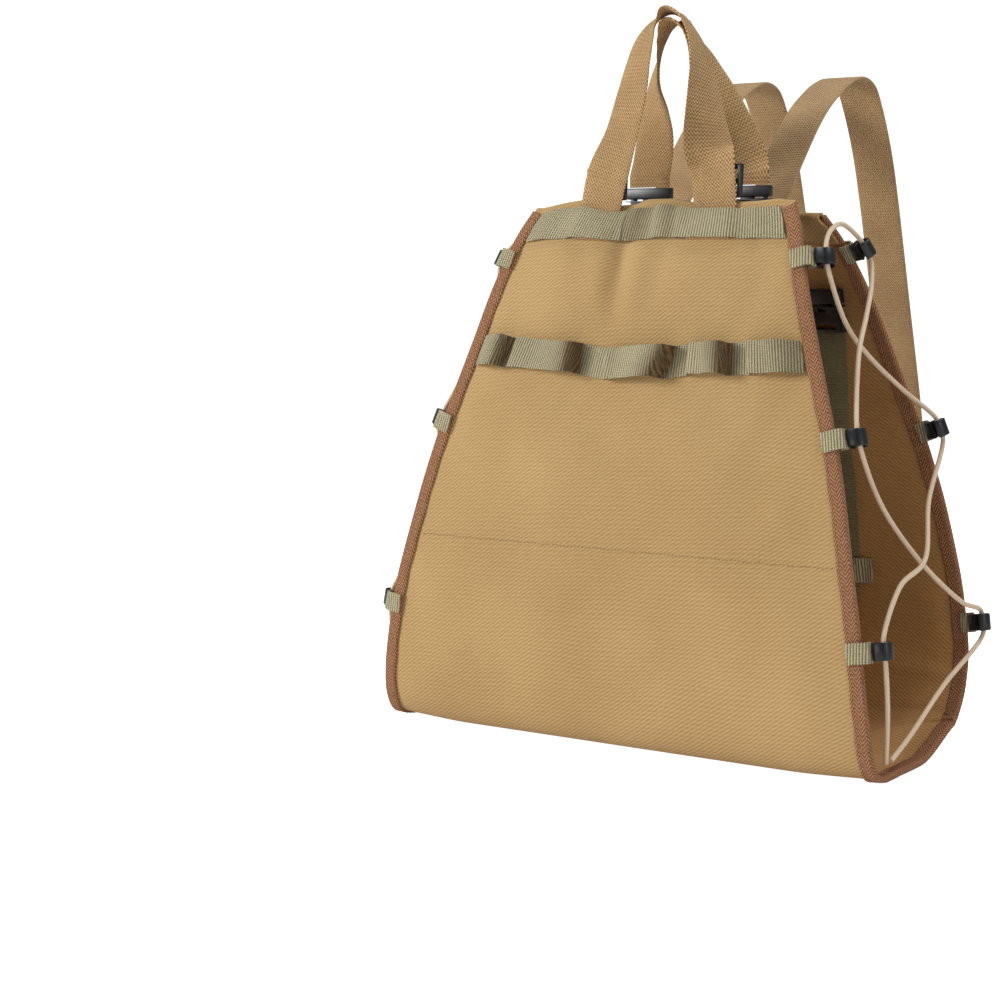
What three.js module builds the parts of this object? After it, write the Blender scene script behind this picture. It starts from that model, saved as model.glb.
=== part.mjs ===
// A canvas log carrier that is also worn on the back.
// One long sheet of canvas, bound along both sides, is folded into a bag that is open left and right.
// Millimetres, +Z up, +X to the right seen from the front, the front panel towards -Y.
// The origin is on the floor, under the middle of the bag.
import * as THREE from "three";

// Sizes of the bag
const BAG_HEIGHT = 418; // floor to the top of the front panel
const BAG_DEPTH = 188; // fullest depth of the folded sheet
const SHEET_WIDTH = 442; // the sheet across its middle
const CLOTH = 2; // the canvas, folded double and waxed
const CLEARANCE = 0.7; // air between a sewn piece and the cloth under it
const HEM = 24; // the ends of the sheet are turned in by this much
const HEM_RADIUS = 2.5; // the fold at the mouth
const MOUTH_BOW = 30; // how far the back panel's top bows back between its corners
const CORNER_CURL = 21; // how far the rear bottom corners curl up off the floor
const EDGE_TUCK = 2.5; // the bound edges lie a little inside the sheet's face, clear of the floor
const SHEET_COLUMNS = 12; // facets across the sheet
const STATION_STEP = 36; // longest facet along the sheet
const STATION_TURN = 19; // largest turn between facets, in degrees

// Sizes of the webbing, the cords and the plastic pieces
const HANDLE_WEB = { width: 38, thick: 2 };
const STRIP_WEB = { width: 24, thick: 1.6 };
const STRIP_INSET = 2.2; // the strips end this far short of the bindings
const BRACE_WEB = { width: 30, thick: 1.6 };
const TAIL_WEB = { width: 25, thick: 1.6 };
const BINDING = { reach: 10, lip: 1.7, half: 2.7, wall: 1.2 };
const TAB = { height: 15, reach: 9, inside: 1.5, nose: 9.5, wall: 1.4, ease: 0.9 };
const HOOK = { height: 13, wall: 2.4, foot: 4.5, ease: 2.2 };
const CORD_DIAMETER = 3.8;
const CORD_STEPS = 66;
const LEFT_LACE = 0.72; // the left lace lies closer to the edges than the right one
const LOOP_BULGE = 4.5; // how far each loop of the loop strip stands off the canvas

// The front panel from its top to the floor, as shares of the bag's depth and height
const FRONT_PROFILE = [
  { depth: -0.157, height: 1.0 },
  { depth: -0.218, height: 0.938 },
  { depth: -0.285, height: 0.85 },
  { depth: -0.335, height: 0.742 },
  { depth: -0.385, height: 0.63 },
  { depth: -0.438, height: 0.51 },
  { depth: -0.486, height: 0.39 },
  { depth: -0.522, height: 0.28 },
  { depth: -0.54, height: 0.18 },
  { depth: -0.54, height: 0.1 },
  { depth: -0.522, height: 0.045 },
  { depth: -0.472, height: 0.01 },
  { depth: -0.394, height: 0.0 },
];
// The back panel from the floor to its top
const BACK_PROFILE = [
  { depth: 0.234, height: 0.0 },
  { depth: 0.312, height: 0.014 },
  { depth: 0.374, height: 0.056 },
  { depth: 0.414, height: 0.13 },
  { depth: 0.438, height: 0.225 },
  { depth: 0.448, height: 0.335 },
  { depth: 0.436, height: 0.435 },
  { depth: 0.4, height: 0.535 },
  { depth: 0.362, height: 0.625 },
  { depth: 0.328, height: 0.715 },
  { depth: 0.286, height: 0.8 },
  { depth: 0.225, height: 0.875 },
  { depth: 0.15, height: 0.935 },
  { depth: 0.072, height: 0.986 },
];
// Half the sheet's width at each height, as a share of half its full width
const WIDTHS = [
  { height: 0.0, width: 1.0 },
  { height: 0.095, width: 0.991 },
  { height: 0.19, width: 0.968 },
  { height: 0.285, width: 0.941 },
  { height: 0.38, width: 0.901 },
  { height: 0.475, width: 0.862 },
  { height: 0.57, width: 0.815 },
  { height: 0.66, width: 0.757 },
  { height: 0.755, width: 0.698 },
  { height: 0.85, width: 0.642 },
  { height: 0.945, width: 0.585 },
  { height: 1.0, width: 0.53 },
];
// Gathers that the top strip pulls into the front panel: place across and depth
const GATHERS = [
  { across: -0.2, depth: 3, spread: 6 },
  { across: 0.72, depth: 1.8, spread: 9 },
];
// Rows of stitches that hold the loop strip down, as shares of its half length
const TACKS = [-1.0, -0.84, -0.39, 0.15, 0.49, 1.0];

// Heights of the three tabs on each edge, of the strips and of the sewn-on pieces
const TAB_HEIGHTS = { front: [0.897, 0.583, 0.232], back: [0.91, 0.575, 0.22] };
// How far the laces pull each tab and hook in towards the other panel, in degrees
const TAB_SWINGS = { front: [44, 46, 46], back: [-12, 14, 22] };
const TOP_STRIP_HEIGHT = 0.955;
const LOOP_STRIP_HEIGHT = 0.712;
const LEG_SPREAD = 52.5; // handle legs from the middle
const STRAP_SPREAD = 47; // shoulder straps from the middle
const BRACE_INSET = 14; // braces from the corners of the mouth
const HANDLE_RISE = 150; // the handle's top above the bag
const FOOT_DROP = 8; // the rear handle's ends hang this far into its buckles

// The front handle, left foot to right foot: place across, depth, share of the rise, and turn of the web
const FRONT_HANDLE = [
  { across: -0.943, depth: -0.162, rise: 0.1, turn: 0 },
  { across: -0.867, depth: -0.157, rise: 0.19, turn: 0 },
  { across: -0.724, depth: -0.133, rise: 0.358, turn: 13 },
  { across: -0.606, depth: -0.096, rise: 0.593, turn: 20 },
  { across: -0.562, depth: -0.077, rise: 0.72, turn: 27 },
  { across: -0.476, depth: -0.059, rise: 0.85, turn: 34 },
  { across: -0.305, depth: -0.045, rise: 0.945, turn: 46 },
  { across: -0.057, depth: -0.037, rise: 0.99, turn: 58 },
  { across: 0.181, depth: -0.043, rise: 0.955, turn: 66 },
  { across: 0.39, depth: -0.051, rise: 0.86, turn: 74 },
  { across: 0.533, depth: -0.064, rise: 0.735, turn: 83 },
  { across: 0.619, depth: -0.082, rise: 0.6, turn: 95 },
  { across: 0.714, depth: -0.112, rise: 0.43, turn: 113 },
  { across: 0.819, depth: -0.141, rise: 0.28, turn: 145 },
  { across: 0.924, depth: -0.157, rise: 0.19, turn: 176 },
  { across: 0.962, depth: -0.162, rise: 0.1, turn: 180 },
];
// The rear handle, nested under the front one
const REAR_HANDLE = [
  { across: -0.819, depth: 0.128, rise: 0.15, turn: 0 },
  { across: -0.781, depth: 0.136, rise: 0.24, turn: 3 },
  { across: -0.724, depth: 0.133, rise: 0.36, turn: 8 },
  { across: -0.686, depth: 0.122, rise: 0.5, turn: 25 },
  { across: -0.638, depth: 0.101, rise: 0.62, turn: 42 },
  { across: -0.524, depth: 0.072, rise: 0.73, turn: 54 },
  { across: -0.39, depth: 0.043, rise: 0.83, turn: 61 },
  { across: -0.238, depth: 0.019, rise: 0.9, turn: 64 },
  { across: -0.048, depth: 0.0, rise: 0.938, turn: 66 },
  { across: 0.124, depth: -0.003, rise: 0.908, turn: 70 },
  { across: 0.248, depth: 0.016, rise: 0.83, turn: 80 },
  { across: 0.362, depth: 0.051, rise: 0.69, turn: 102 },
  { across: 0.486, depth: 0.085, rise: 0.55, turn: 122 },
  { across: 0.61, depth: 0.112, rise: 0.42, turn: 145 },
  { across: 0.733, depth: 0.133, rise: 0.31, turn: 160 },
  { across: 0.857, depth: 0.141, rise: 0.22, turn: 172 },
  { across: 0.93, depth: 0.128, rise: 0.15, turn: 180 },
];
// A shoulder strap from the back panel's top, up, over and down to its adjuster
const SHOULDER_ROUTE = [
  { depth: 0.35, height: 1.024 },
  { depth: 0.46, height: 1.088 },
  { depth: 0.58, height: 1.151 },
  { depth: 0.686, height: 1.194 },
  { depth: 0.79, height: 1.225 },
  { depth: 0.904, height: 1.252 },
  { depth: 1.03, height: 1.266 },
  { depth: 1.13, height: 1.252 },
  { depth: 1.2, height: 1.212 },
  { depth: 1.3, height: 1.122 },
  { depth: 1.375, height: 1.02 },
  { depth: 1.44, height: 0.914 },
  { depth: 1.51, height: 0.796 },
  { depth: 1.59, height: 0.665 },
  { depth: 1.65, height: 0.56 },
  { depth: 1.675, height: 0.49 },
  { depth: 1.665, height: 0.43 },
];
// The lower strap from the adjuster back to the foot of the back panel
const LOWER_ROUTE = [
  { depth: 1.63, height: 0.352 },
  { depth: 1.575, height: 0.275 },
  { depth: 1.45, height: 0.205 },
  { depth: 1.25, height: 0.155 },
  { depth: 0.98, height: 0.14 },
  { depth: 0.74, height: 0.165 },
  { depth: 0.585, height: 0.215 },
  { depth: 0.508, height: 0.262 },
];
// The loose end that hangs out of the adjuster
const TAIL_ROUTE = [
  { depth: 1.671, height: 0.4 },
  { depth: 1.677, height: 0.355 },
  { depth: 1.7, height: 0.3 },
  { depth: 1.715, height: 0.24 },
  { depth: 1.715, height: 0.17 },
];
// One lace: out of the anchor, from hook to hook and back to the anchor
// out is the distance past the sheet's edge, hook names the panel and tab that it passes
const LACE_ROUTE = [
  { depth: -0.372, height: 0.033, out: -2 },
  { depth: -0.435, height: 0.129, out: 8 },
  { hook: "front", tab: 2 },
  { depth: -0.28, height: 0.33, out: 16 },
  { depth: -0.027, height: 0.364, out: 16.8 },
  { depth: 0.194, height: 0.458, out: 8.9 },
  { hook: "back", tab: 1 },
  { depth: 0.269, height: 0.651, out: 5 },
  { depth: 0.043, height: 0.725, out: 3 },
  { depth: -0.115, height: 0.785, out: 8 },
  { hook: "front", tab: 0 },
  { depth: -0.08, height: 0.942, out: 13 },
  { depth: 0.043, height: 0.957, out: 15 },
  { hook: "back", tab: 0 },
  { depth: 0.12, height: 0.853, out: 17 },
  { depth: 0, height: 0.795, out: 16.7 },
  { depth: -0.16, height: 0.727, out: 16.6 },
  { hook: "front", tab: 1 },
  { depth: -0.161, height: 0.459, out: 3 },
  { depth: 0.053, height: 0.349, out: 6.8 },
  { depth: 0.245, height: 0.273, out: 15.9 },
  { hook: "back", tab: 2 },
  { depth: 0.126, height: 0.129, out: 3 },
  { depth: -0.177, height: 0.06, out: -1 },
  { depth: -0.328, height: 0.033, out: -2 },
];

// Colours as they show in even light
const CANVAS = { color: "#c4a36a", roughness: 0.92 };
const TAN_WEB = { color: "#b5905c", roughness: 0.85 };
const KHAKI_WEB = { color: "#a89c76", roughness: 0.85 };
const OLIVE_WEB = { color: "#7d7454", roughness: 0.85 };
const BROWN_TAPE = { color: "#9c6843", roughness: 0.85 };
const BLACK_PLASTIC = { color: "#24252b", roughness: 0.4 };
const CREAM_CORD = { color: "#dcc1a0", roughness: 0.7 };

const carrier = new THREE.Group();
carrier.name = "log_carrier";

function addMesh(name, geometry, look) {
  const material = new THREE.MeshStandardMaterial({
    color: look.color,
    roughness: look.roughness,
    metalness: 0,
  });
  const mesh = new THREE.Mesh(geometry, material);
  mesh.name = name;
  carrier.add(mesh);
  return mesh;
}

// Reads a column of a table between its rows, which are sorted by another column.
function readTable(rows, key, value, at) {
  if (at <= rows[0][key]) return rows[0][value];
  for (let i = 1; i < rows.length; i++) {
    if (at <= rows[i][key]) {
      const part = (at - rows[i - 1][key]) / (rows[i][key] - rows[i - 1][key]);
      return rows[i - 1][value] + part * (rows[i][value] - rows[i - 1][value]);
    }
  }
  return rows[rows.length - 1][value];
}

function halfWidth(z) {
  return (SHEET_WIDTH / 2) * readTable(WIDTHS, "height", "width", z / BAG_HEIGHT);
}

// The middle of the cloth's thickness in side view, as closely spaced points with their distance along it.
const FLOOR_LINE = CLOTH / 2;

function profileCurve(rows) {
  const rise = BAG_HEIGHT - HEM_RADIUS - CLOTH;
  const points = rows.map(
    (row) => new THREE.Vector3(0, row.depth * BAG_DEPTH, FLOOR_LINE + row.height * rise),
  );
  return new THREE.CatmullRomCurve3(points, false, "centripetal");
}

const profile = [
  ...profileCurve(FRONT_PROFILE).getSpacedPoints(240),
  ...profileCurve(BACK_PROFILE).getSpacedPoints(240),
].map((point) => ({ point, length: 0 }));
for (let i = 1; i < profile.length; i++) {
  profile[i].length = profile[i - 1].length + profile[i].point.distanceTo(profile[i - 1].point);
}
const SHEET_LENGTH = profile[profile.length - 1].length;
const FLOOR_START = profile[240].length;
const FLOOR_END = profile[241].length;

function profileAt(length) {
  const at = THREE.MathUtils.clamp(length, 0, SHEET_LENGTH);
  let low = 0;
  let high = profile.length - 1;
  while (high - low > 1) {
    const middle = (low + high) >> 1;
    if (profile[middle].length <= at) low = middle;
    else high = middle;
  }
  const span = profile[high].length - profile[low].length;
  return profile[low].point.clone().lerp(profile[high].point, (at - profile[low].length) / span);
}

function profileTangent(length) {
  const from = profileAt(Math.max(length - 2, 0));
  const to = profileAt(Math.min(length + 2, SHEET_LENGTH));
  return to.sub(from).normalize();
}

// Distance along the sheet at which the front or the back panel reaches a height.
function lengthAtHeight(panel, z) {
  let low = panel === "front" ? 0 : FLOOR_END;
  let high = panel === "front" ? FLOOR_START : SHEET_LENGTH;
  for (let i = 0; i < 40; i++) {
    const middle = (low + high) / 2;
    const above = profileAt(middle).z > z;
    if (above === (panel === "front")) low = middle;
    else high = middle;
  }
  return low;
}

const CURL_MIDDLE = FLOOR_END + 14;
const CURL_SPAN = 80;

// A point of the sheet's middle layer: distance along it, and place across from -1 to 1.
function sheetPoint(length, across) {
  const tangent = profileTangent(length);
  const outward = new THREE.Vector3(0, tangent.z, -tangent.y);
  const point = profileAt(length);
  const z = point.z;
  const half = halfWidth(z);
  const top = THREE.MathUtils.smoothstep(z / BAG_HEIGHT, 0.6, 1);
  const tuck = EDGE_TUCK * THREE.MathUtils.smoothstep(Math.abs(across), 0.66, 1);
  point.x = across * half;
  point.addScaledVector(outward, -tuck);
  if (length > FLOOR_END) point.y += MOUTH_BOW * top * (1 - across * across);
  if (length > FLOOR_START) {
    const away = Math.min(1, Math.abs(length - CURL_MIDDLE) / CURL_SPAN);
    const curl = 0.5 + 0.5 * Math.cos(Math.PI * away);
    const edge = THREE.MathUtils.smoothstep(Math.abs(across), 0.5, 1);
    point.addScaledVector(outward, -CORNER_CURL * curl * edge);
  } else {
    const fade = 1 - THREE.MathUtils.smoothstep(length, 25, 120);
    for (const gather of GATHERS) {
      const away = (across - gather.across) * half;
      const dip = Math.exp(-(away * away) / (2 * gather.spread * gather.spread));
      point.addScaledVector(outward, -gather.depth * dip * fade);
    }
  }
  return point;
}

function sheetNormal(length, across) {
  const along = sheetPoint(Math.min(length + 3, SHEET_LENGTH), across).sub(
    sheetPoint(Math.max(length - 3, 0), across),
  );
  const side = sheetPoint(length, Math.min(across + 0.02, 1)).sub(
    sheetPoint(length, Math.max(across - 0.02, -1)),
  );
  return along.cross(side).normalize();
}

// A place on the sheet in millimetres, raised off its middle layer: up is outside, down is inside.
function onSheet(length, x, raise) {
  const across = x / halfWidth(profileAt(length).z);
  return {
    point: sheetPoint(length, across).addScaledVector(sheetNormal(length, across), raise),
    normal: sheetNormal(length, across),
  };
}

// Distances along the sheet that keep the facets short where it bends.
function stations(from, to) {
  const list = [from];
  const count = Math.ceil(Math.abs(to - from) / 1.5);
  let spent = 0;
  let before = profileTangent(from);
  for (let i = 1; i < count; i++) {
    const at = from + ((to - from) * i) / count;
    const now = profileTangent(at);
    const turn = THREE.MathUtils.radToDeg(before.angleTo(now));
    spent += Math.abs(to - from) / count / STATION_STEP + turn / STATION_TURN;
    before = now;
    if (spent >= 1 && Math.abs(to - at) > 5) {
      list.push(at);
      spent = 0;
    }
  }
  list.push(to);
  return list;
}

// A closed surface from corner points and triangles, turned so that it faces out.
function closedBody(points, triangles) {
  let volume = 0;
  for (const [a, b, c] of triangles) {
    volume += points[a].dot(points[b].clone().cross(points[c]));
  }
  const faces = volume < 0 ? triangles.map(([a, b, c]) => [a, c, b]) : triangles;
  const geometry = new THREE.BufferGeometry().setFromPoints(points);
  geometry.setIndex(faces.flat());
  const flat = geometry.toNonIndexed();
  flat.computeVertexNormals();
  return flat;
}

// A sheet of even thickness over a grid of places, each with a point and a normal.
function slab(rows, thick) {
  const across = rows[0].length;
  const points = [];
  const triangles = [];
  for (const side of [0.5, -0.5]) {
    for (const row of rows) {
      for (const place of row) {
        points.push(place.point.clone().addScaledVector(place.normal, side * thick));
      }
    }
  }
  const back = rows.length * across;
  const quad = (a, b, c, d) => triangles.push([a, b, c], [a, c, d]);
  for (let i = 0; i + 1 < rows.length; i++) {
    for (let j = 0; j + 1 < across; j++) {
      const a = i * across + j;
      quad(a, a + 1, a + across + 1, a + across);
      quad(back + a, back + a + across, back + a + across + 1, back + a + 1);
    }
    const left = i * across;
    const right = left + across - 1;
    quad(left, left + across, back + left + across, back + left);
    quad(right, back + right, back + right + across, right + across);
  }
  const last = (rows.length - 1) * across;
  for (let j = 0; j + 1 < across; j++) {
    quad(j, back + j, back + j + 1, j + 1);
    quad(last + j, last + j + 1, back + last + j + 1, back + last + j);
  }
  return closedBody(points, triangles);
}

// A closed section carried along frames, each with a point and its two directions.
function sweep(frames, section) {
  const sides = section.length;
  const points = [];
  const triangles = [];
  for (const frame of frames) {
    for (const [a, b] of section) {
      points.push(
        frame.point.clone().addScaledVector(frame.out, a).addScaledVector(frame.normal, b),
      );
    }
  }
  for (let i = 0; i + 1 < frames.length; i++) {
    for (let j = 0; j < sides; j++) {
      const a = i * sides + j;
      const b = i * sides + ((j + 1) % sides);
      triangles.push([a, b, b + sides], [a, b + sides, a + sides]);
    }
  }
  const outline = section.map(([a, b]) => new THREE.Vector2(a, b));
  const end = (frames.length - 1) * sides;
  const turned = THREE.ShapeUtils.isClockWise(outline);
  for (const [a, b, c] of THREE.ShapeUtils.triangulateShape(outline, [])) {
    const face = turned ? [a, b, c] : [a, c, b];
    triangles.push(face, [end + face[0], end + face[2], end + face[1]]);
  }
  return closedBody(points, triangles);
}

// Flat webbing along a list of places, each with a point and the direction of its width.
function ribbon(places, web) {
  const rows = places.map((place, i) => {
    const from = places[Math.max(i - 1, 0)].point;
    const to = places[Math.min(i + 1, places.length - 1)].point;
    const along = to.clone().sub(from).normalize();
    const width = place.width.clone().addScaledVector(along, -place.width.dot(along)).normalize();
    const normal = width.clone().cross(along);
    return [-0.5, 0.5].map((side) => ({
      point: place.point.clone().addScaledVector(width, side * web.width),
      normal,
    }));
  });
  return slab(rows, web.thick);
}

function smoothPoints(points, count) {
  return new THREE.CatmullRomCurve3(points, false, "centripetal").getSpacedPoints(count);
}

// The canvas: one sheet with both of its ends turned in at the mouth.
const canvasStations = [];
const foldAngles = [180, 135, 90, 45];
for (const back of [false, true]) {
  const end = back ? SHEET_LENGTH : 0;
  const sign = back ? -1 : 1;
  const turned = [HEM, HEM / 2, 1].map((down) => ({
    length: end + sign * down,
    raise: -2 * HEM_RADIUS,
    rise: 0,
  }));
  const bent = foldAngles.map((angle) => ({
    length: end,
    raise: HEM_RADIUS * (Math.cos(THREE.MathUtils.degToRad(angle)) - 1),
    rise: HEM_RADIUS * Math.sin(THREE.MathUtils.degToRad(angle)),
  }));
  const hem = [...turned, ...bent.slice(1)];
  if (back) {
    canvasStations.push(...hem.reverse());
  } else {
    canvasStations.push(...hem);
    for (const length of stations(0, FLOOR_START)) canvasStations.push({ length, raise: 0, rise: 0 });
    canvasStations.push({ length: (FLOOR_START + FLOOR_END) / 2, raise: 0, rise: 0 });
    for (const length of stations(FLOOR_END, SHEET_LENGTH)) canvasStations.push({ length, raise: 0, rise: 0 });
  }
}
const canvasCentres = canvasStations.map((station) => {
  const row = [];
  for (let j = 0; j <= SHEET_COLUMNS; j++) {
    const across = (2 * j) / SHEET_COLUMNS - 1;
    const up = profileTangent(station.length).multiplyScalar(station.length < FLOOR_START ? -1 : 1);
    const point = sheetPoint(station.length, across);
    point.addScaledVector(sheetNormal(station.length, across), station.raise);
    point.addScaledVector(up, station.rise);
    row.push(point);
  }
  return row;
});
const canvasRows = canvasCentres.map((row, i) =>
  row.map((point, j) => {
    const before = canvasCentres[Math.max(i - 1, 0)][j];
    const after = canvasCentres[Math.min(i + 1, canvasCentres.length - 1)][j];
    const left = row[Math.max(j - 1, 0)];
    const right = row[Math.min(j + 1, SHEET_COLUMNS)];
    const normal = right.clone().sub(left).cross(after.clone().sub(before)).normalize();
    return { point, normal };
  }),
);
addMesh("canvas_body", slab(canvasRows, CLOTH), CANVAS);

// The frame of the sheet's left or right edge: out is away from the cloth, in its plane.
function edgeFrame(length, side) {
  const point = sheetPoint(length, side);
  const inner = sheetPoint(length, side * (1 - 2 / SHEET_COLUMNS));
  const along = sheetPoint(Math.min(length + 2, SHEET_LENGTH), side).sub(
    sheetPoint(Math.max(length - 2, 0), side),
  );
  along.normalize();
  const out = point.clone().sub(inner);
  out.addScaledVector(along, -out.dot(along)).normalize();
  const normal = along.clone().cross(out).multiplyScalar(side).normalize();
  return { point, out, normal, along };
}

// The binding wraps each long edge in a channel, from mouth to mouth.
const bindingSection = [
  [-BINDING.reach, BINDING.half],
  [BINDING.lip, BINDING.half],
  [BINDING.lip, -BINDING.half],
  [-BINDING.reach, -BINDING.half],
  [-BINDING.reach, BINDING.wall - BINDING.half],
  [BINDING.lip - BINDING.wall, BINDING.wall - BINDING.half],
  [BINDING.lip - BINDING.wall, BINDING.half - BINDING.wall],
  [-BINDING.reach, BINDING.half - BINDING.wall],
];
for (const [name, side] of [
  ["edge_binding_left", -1],
  ["edge_binding_right", 1],
]) {
  const lengths = [
    ...stations(1.5, FLOOR_START),
    (FLOOR_START + FLOOR_END) / 2,
    ...stations(FLOOR_END, SHEET_LENGTH - 1.5),
  ];
  addMesh(
    name,
    sweep(
      lengths.map((length) => edgeFrame(length, side)),
      bindingSection,
    ),
    BROWN_TAPE,
  );
}

// A strip sewn across the front panel, with its lift off the cloth at each place.
function crossStrip(name, heightShare, columns, lift) {
  const middle = lengthAtHeight("front", heightShare * BAG_HEIGHT);
  const rows = [];
  for (let i = 0; i <= columns; i++) {
    const across = (2 * i) / columns - 1;
    rows.push(
      [-0.5, 0, 0.5].map((side) => {
        const length = middle + side * STRIP_WEB.width;
        const x = across * (halfWidth(profileAt(length).z) - BINDING.reach - STRIP_INSET);
        return onSheet(length, x, lift(across, x));
      }),
    );
  }
  addMesh(name, slab(rows, STRIP_WEB.thick), KHAKI_WEB);
}

const STRIP_LIFT = CLOTH / 2 + CLEARANCE + STRIP_WEB.thick / 2;
const LEG_LIFT = CLOTH / 2 + CLEARANCE + HANDLE_WEB.thick / 2;
crossStrip("top_strip", TOP_STRIP_HEIGHT, 26, (across, x) => {
  const beside = Math.abs(Math.abs(x) - LEG_SPREAD) - HANDLE_WEB.width / 2;
  return STRIP_LIFT + (HANDLE_WEB.thick + 2 * CLEARANCE) * (1 - THREE.MathUtils.smoothstep(beside, 3, 16));
});
crossStrip("loop_strip", LOOP_STRIP_HEIGHT, 40, (across) => {
  for (let i = 1; i < TACKS.length; i++) {
    if (across <= TACKS[i]) {
      const part = (across - TACKS[i - 1]) / (TACKS[i] - TACKS[i - 1]);
      return STRIP_LIFT + LOOP_BULGE * Math.sqrt(Math.sin(Math.PI * part));
    }
  }
  return STRIP_LIFT;
});

// Handles: the front one is sewn under the top strip, the rear one ends in two buckles.
function handlePoint(row) {
  return new THREE.Vector3(
    row.across * LEG_SPREAD,
    row.depth * BAG_DEPTH,
    BAG_HEIGHT + row.rise * HANDLE_RISE,
  );
}

function handlePlaces(rows, feet) {
  const curve = new THREE.CatmullRomCurve3(
    rows.map(handlePoint),
    false,
    "centripetal",
  );
  const steps = 3 * (rows.length - 1);
  const places = [];
  for (let i = 0; i <= steps; i++) {
    const at = i / steps;
    const row = Math.min(Math.floor(at * (rows.length - 1)), rows.length - 2);
    const part = at * (rows.length - 1) - row;
    const turn = THREE.MathUtils.degToRad(
      rows[row].turn + part * (rows[row + 1].turn - rows[row].turn),
    );
    places.push({
      point: curve.getPoint(at),
      width: new THREE.Vector3(Math.cos(turn), -Math.sin(turn), 0),
    });
  }
  return [...feet(-1), ...places, ...feet(1).reverse()];
}

const topStripEnd = lengthAtHeight("front", TOP_STRIP_HEIGHT * BAG_HEIGHT) + STRIP_WEB.width / 2;
addMesh(
  "front_handle",
  ribbon(
    handlePlaces(FRONT_HANDLE, (side) =>
      [topStripEnd, (2 * topStripEnd) / 3, topStripEnd / 3, 1].map((length) => ({
        point: onSheet(length, side * LEG_SPREAD, LEG_LIFT).point,
        width: new THREE.Vector3(-side, 0, 0),
      })),
    ),
    HANDLE_WEB,
  ),
  TAN_WEB,
);
addMesh(
  "rear_handle",
  ribbon(
    handlePlaces(REAR_HANDLE, (side) => {
      const foot = side < 0 ? REAR_HANDLE[0] : REAR_HANDLE[REAR_HANDLE.length - 1];
      return [2 * FOOT_DROP, 1.1 * FOOT_DROP].map((down) => ({
        point: handlePoint(foot).add(new THREE.Vector3(0, 0, FOOT_DROP - down)),
        width: new THREE.Vector3(-side, 0, 0),
      }));
    }),
    HANDLE_WEB,
  ),
  TAN_WEB,
);

// A flat plastic frame with a bar, cut as an outline with two windows.
function ladderShape(width, height, rail, bar) {
  const shape = new THREE.Shape();
  const cut = Math.min(width, height) * 0.14;
  const corners = [
    [-width / 2 + cut, -height / 2],
    [width / 2 - cut, -height / 2],
    [width / 2, -height / 2 + cut],
    [width / 2, height / 2 - cut],
    [width / 2 - cut, height / 2],
    [-width / 2 + cut, height / 2],
    [-width / 2, height / 2 - cut],
    [-width / 2, -height / 2 + cut],
  ];
  shape.setFromPoints(corners.map(([a, b]) => new THREE.Vector2(a, b)));
  const opening = (height - 2 * rail - bar) / 2;
  for (const side of [-1, 1]) {
    const low = side < 0 ? -height / 2 + rail : bar / 2;
    const hole = new THREE.Path();
    hole.setFromPoints([
      new THREE.Vector2(-width / 2 + rail, low),
      new THREE.Vector2(-width / 2 + rail, low + opening),
      new THREE.Vector2(width / 2 - rail, low + opening),
      new THREE.Vector2(width / 2 - rail, low),
    ]);
    shape.holes.push(hole);
  }
  return shape;
}

// Stands a flat shape at a point: its X runs across, its Y runs along the webbing.
function standing(shape, thick, point, along, width) {
  const geometry = new THREE.ExtrudeGeometry(shape, { depth: thick, bevelEnabled: false });
  geometry.translate(0, 0, -thick / 2);
  const across = width.clone().addScaledVector(along, -width.dot(along)).normalize();
  const normal = across.clone().cross(along);
  geometry.applyMatrix4(new THREE.Matrix4().makeBasis(across, along, normal).setPosition(point));
  return geometry;
}

const ACROSS = new THREE.Vector3(1, 0, 0);
const UPWARD = new THREE.Vector3(0, 0, 1);

// A side-release buckle: a body that narrows to two prongs, with a window on each side.
function buckleShape(width, height) {
  const shape = new THREE.Shape();
  const half = width / 2;
  shape.setFromPoints(
    [
      [-half, -height * 0.5],
      [half, -height * 0.5],
      [half, -height * 0.1],
      [half * 0.86, height * 0.02],
      [half * 0.86, height * 0.22],
      [half, height * 0.3],
      [half, height * 0.5],
      [-half, height * 0.5],
      [-half, height * 0.3],
      [-half * 0.86, height * 0.22],
      [-half * 0.86, height * 0.02],
      [-half, -height * 0.1],
    ].map(([a, b]) => new THREE.Vector2(a, b)),
  );
  return shape;
}

const HANDLE_BUCKLE = { width: HANDLE_WEB.width + 4, height: 27, thick: 7 };
const HANDLE_PLATE = { width: HANDLE_WEB.width, height: 26, thick: 3, aside: 2.5, lift: 2.2 };
for (const [word, side] of [
  ["left", -1],
  ["right", 1],
]) {
  const foot = side < 0 ? REAR_HANDLE[0] : REAR_HANDLE[REAR_HANDLE.length - 1];
  const drop = FOOT_DROP + CLEARANCE + HANDLE_BUCKLE.height / 2;
  const middle = handlePoint(foot).add(new THREE.Vector3(0, 0, -drop));
  addMesh(
    "handle_buckle_" + word,
    standing(
      buckleShape(HANDLE_BUCKLE.width, HANDLE_BUCKLE.height),
      HANDLE_BUCKLE.thick,
      middle,
      UPWARD,
      ACROSS,
    ),
    BLACK_PLASTIC,
  );
  const plate = new THREE.Vector3(
    side * LEG_SPREAD + HANDLE_PLATE.aside,
    FRONT_HANDLE[0].depth * BAG_DEPTH + HANDLE_WEB.thick / 2 + CLEARANCE + HANDLE_PLATE.thick / 2,
    BAG_HEIGHT + HANDLE_PLATE.lift + HANDLE_PLATE.height / 2,
  );
  const lean = new THREE.Vector3(0, 0.1, 1).normalize();
  addMesh(
    "handle_plate_" + word,
    standing(
      ladderShape(HANDLE_PLATE.width, HANDLE_PLATE.height, 4, 4),
      HANDLE_PLATE.thick,
      plate,
      lean,
      ACROSS,
    ),
    BLACK_PLASTIC,
  );
}

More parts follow.
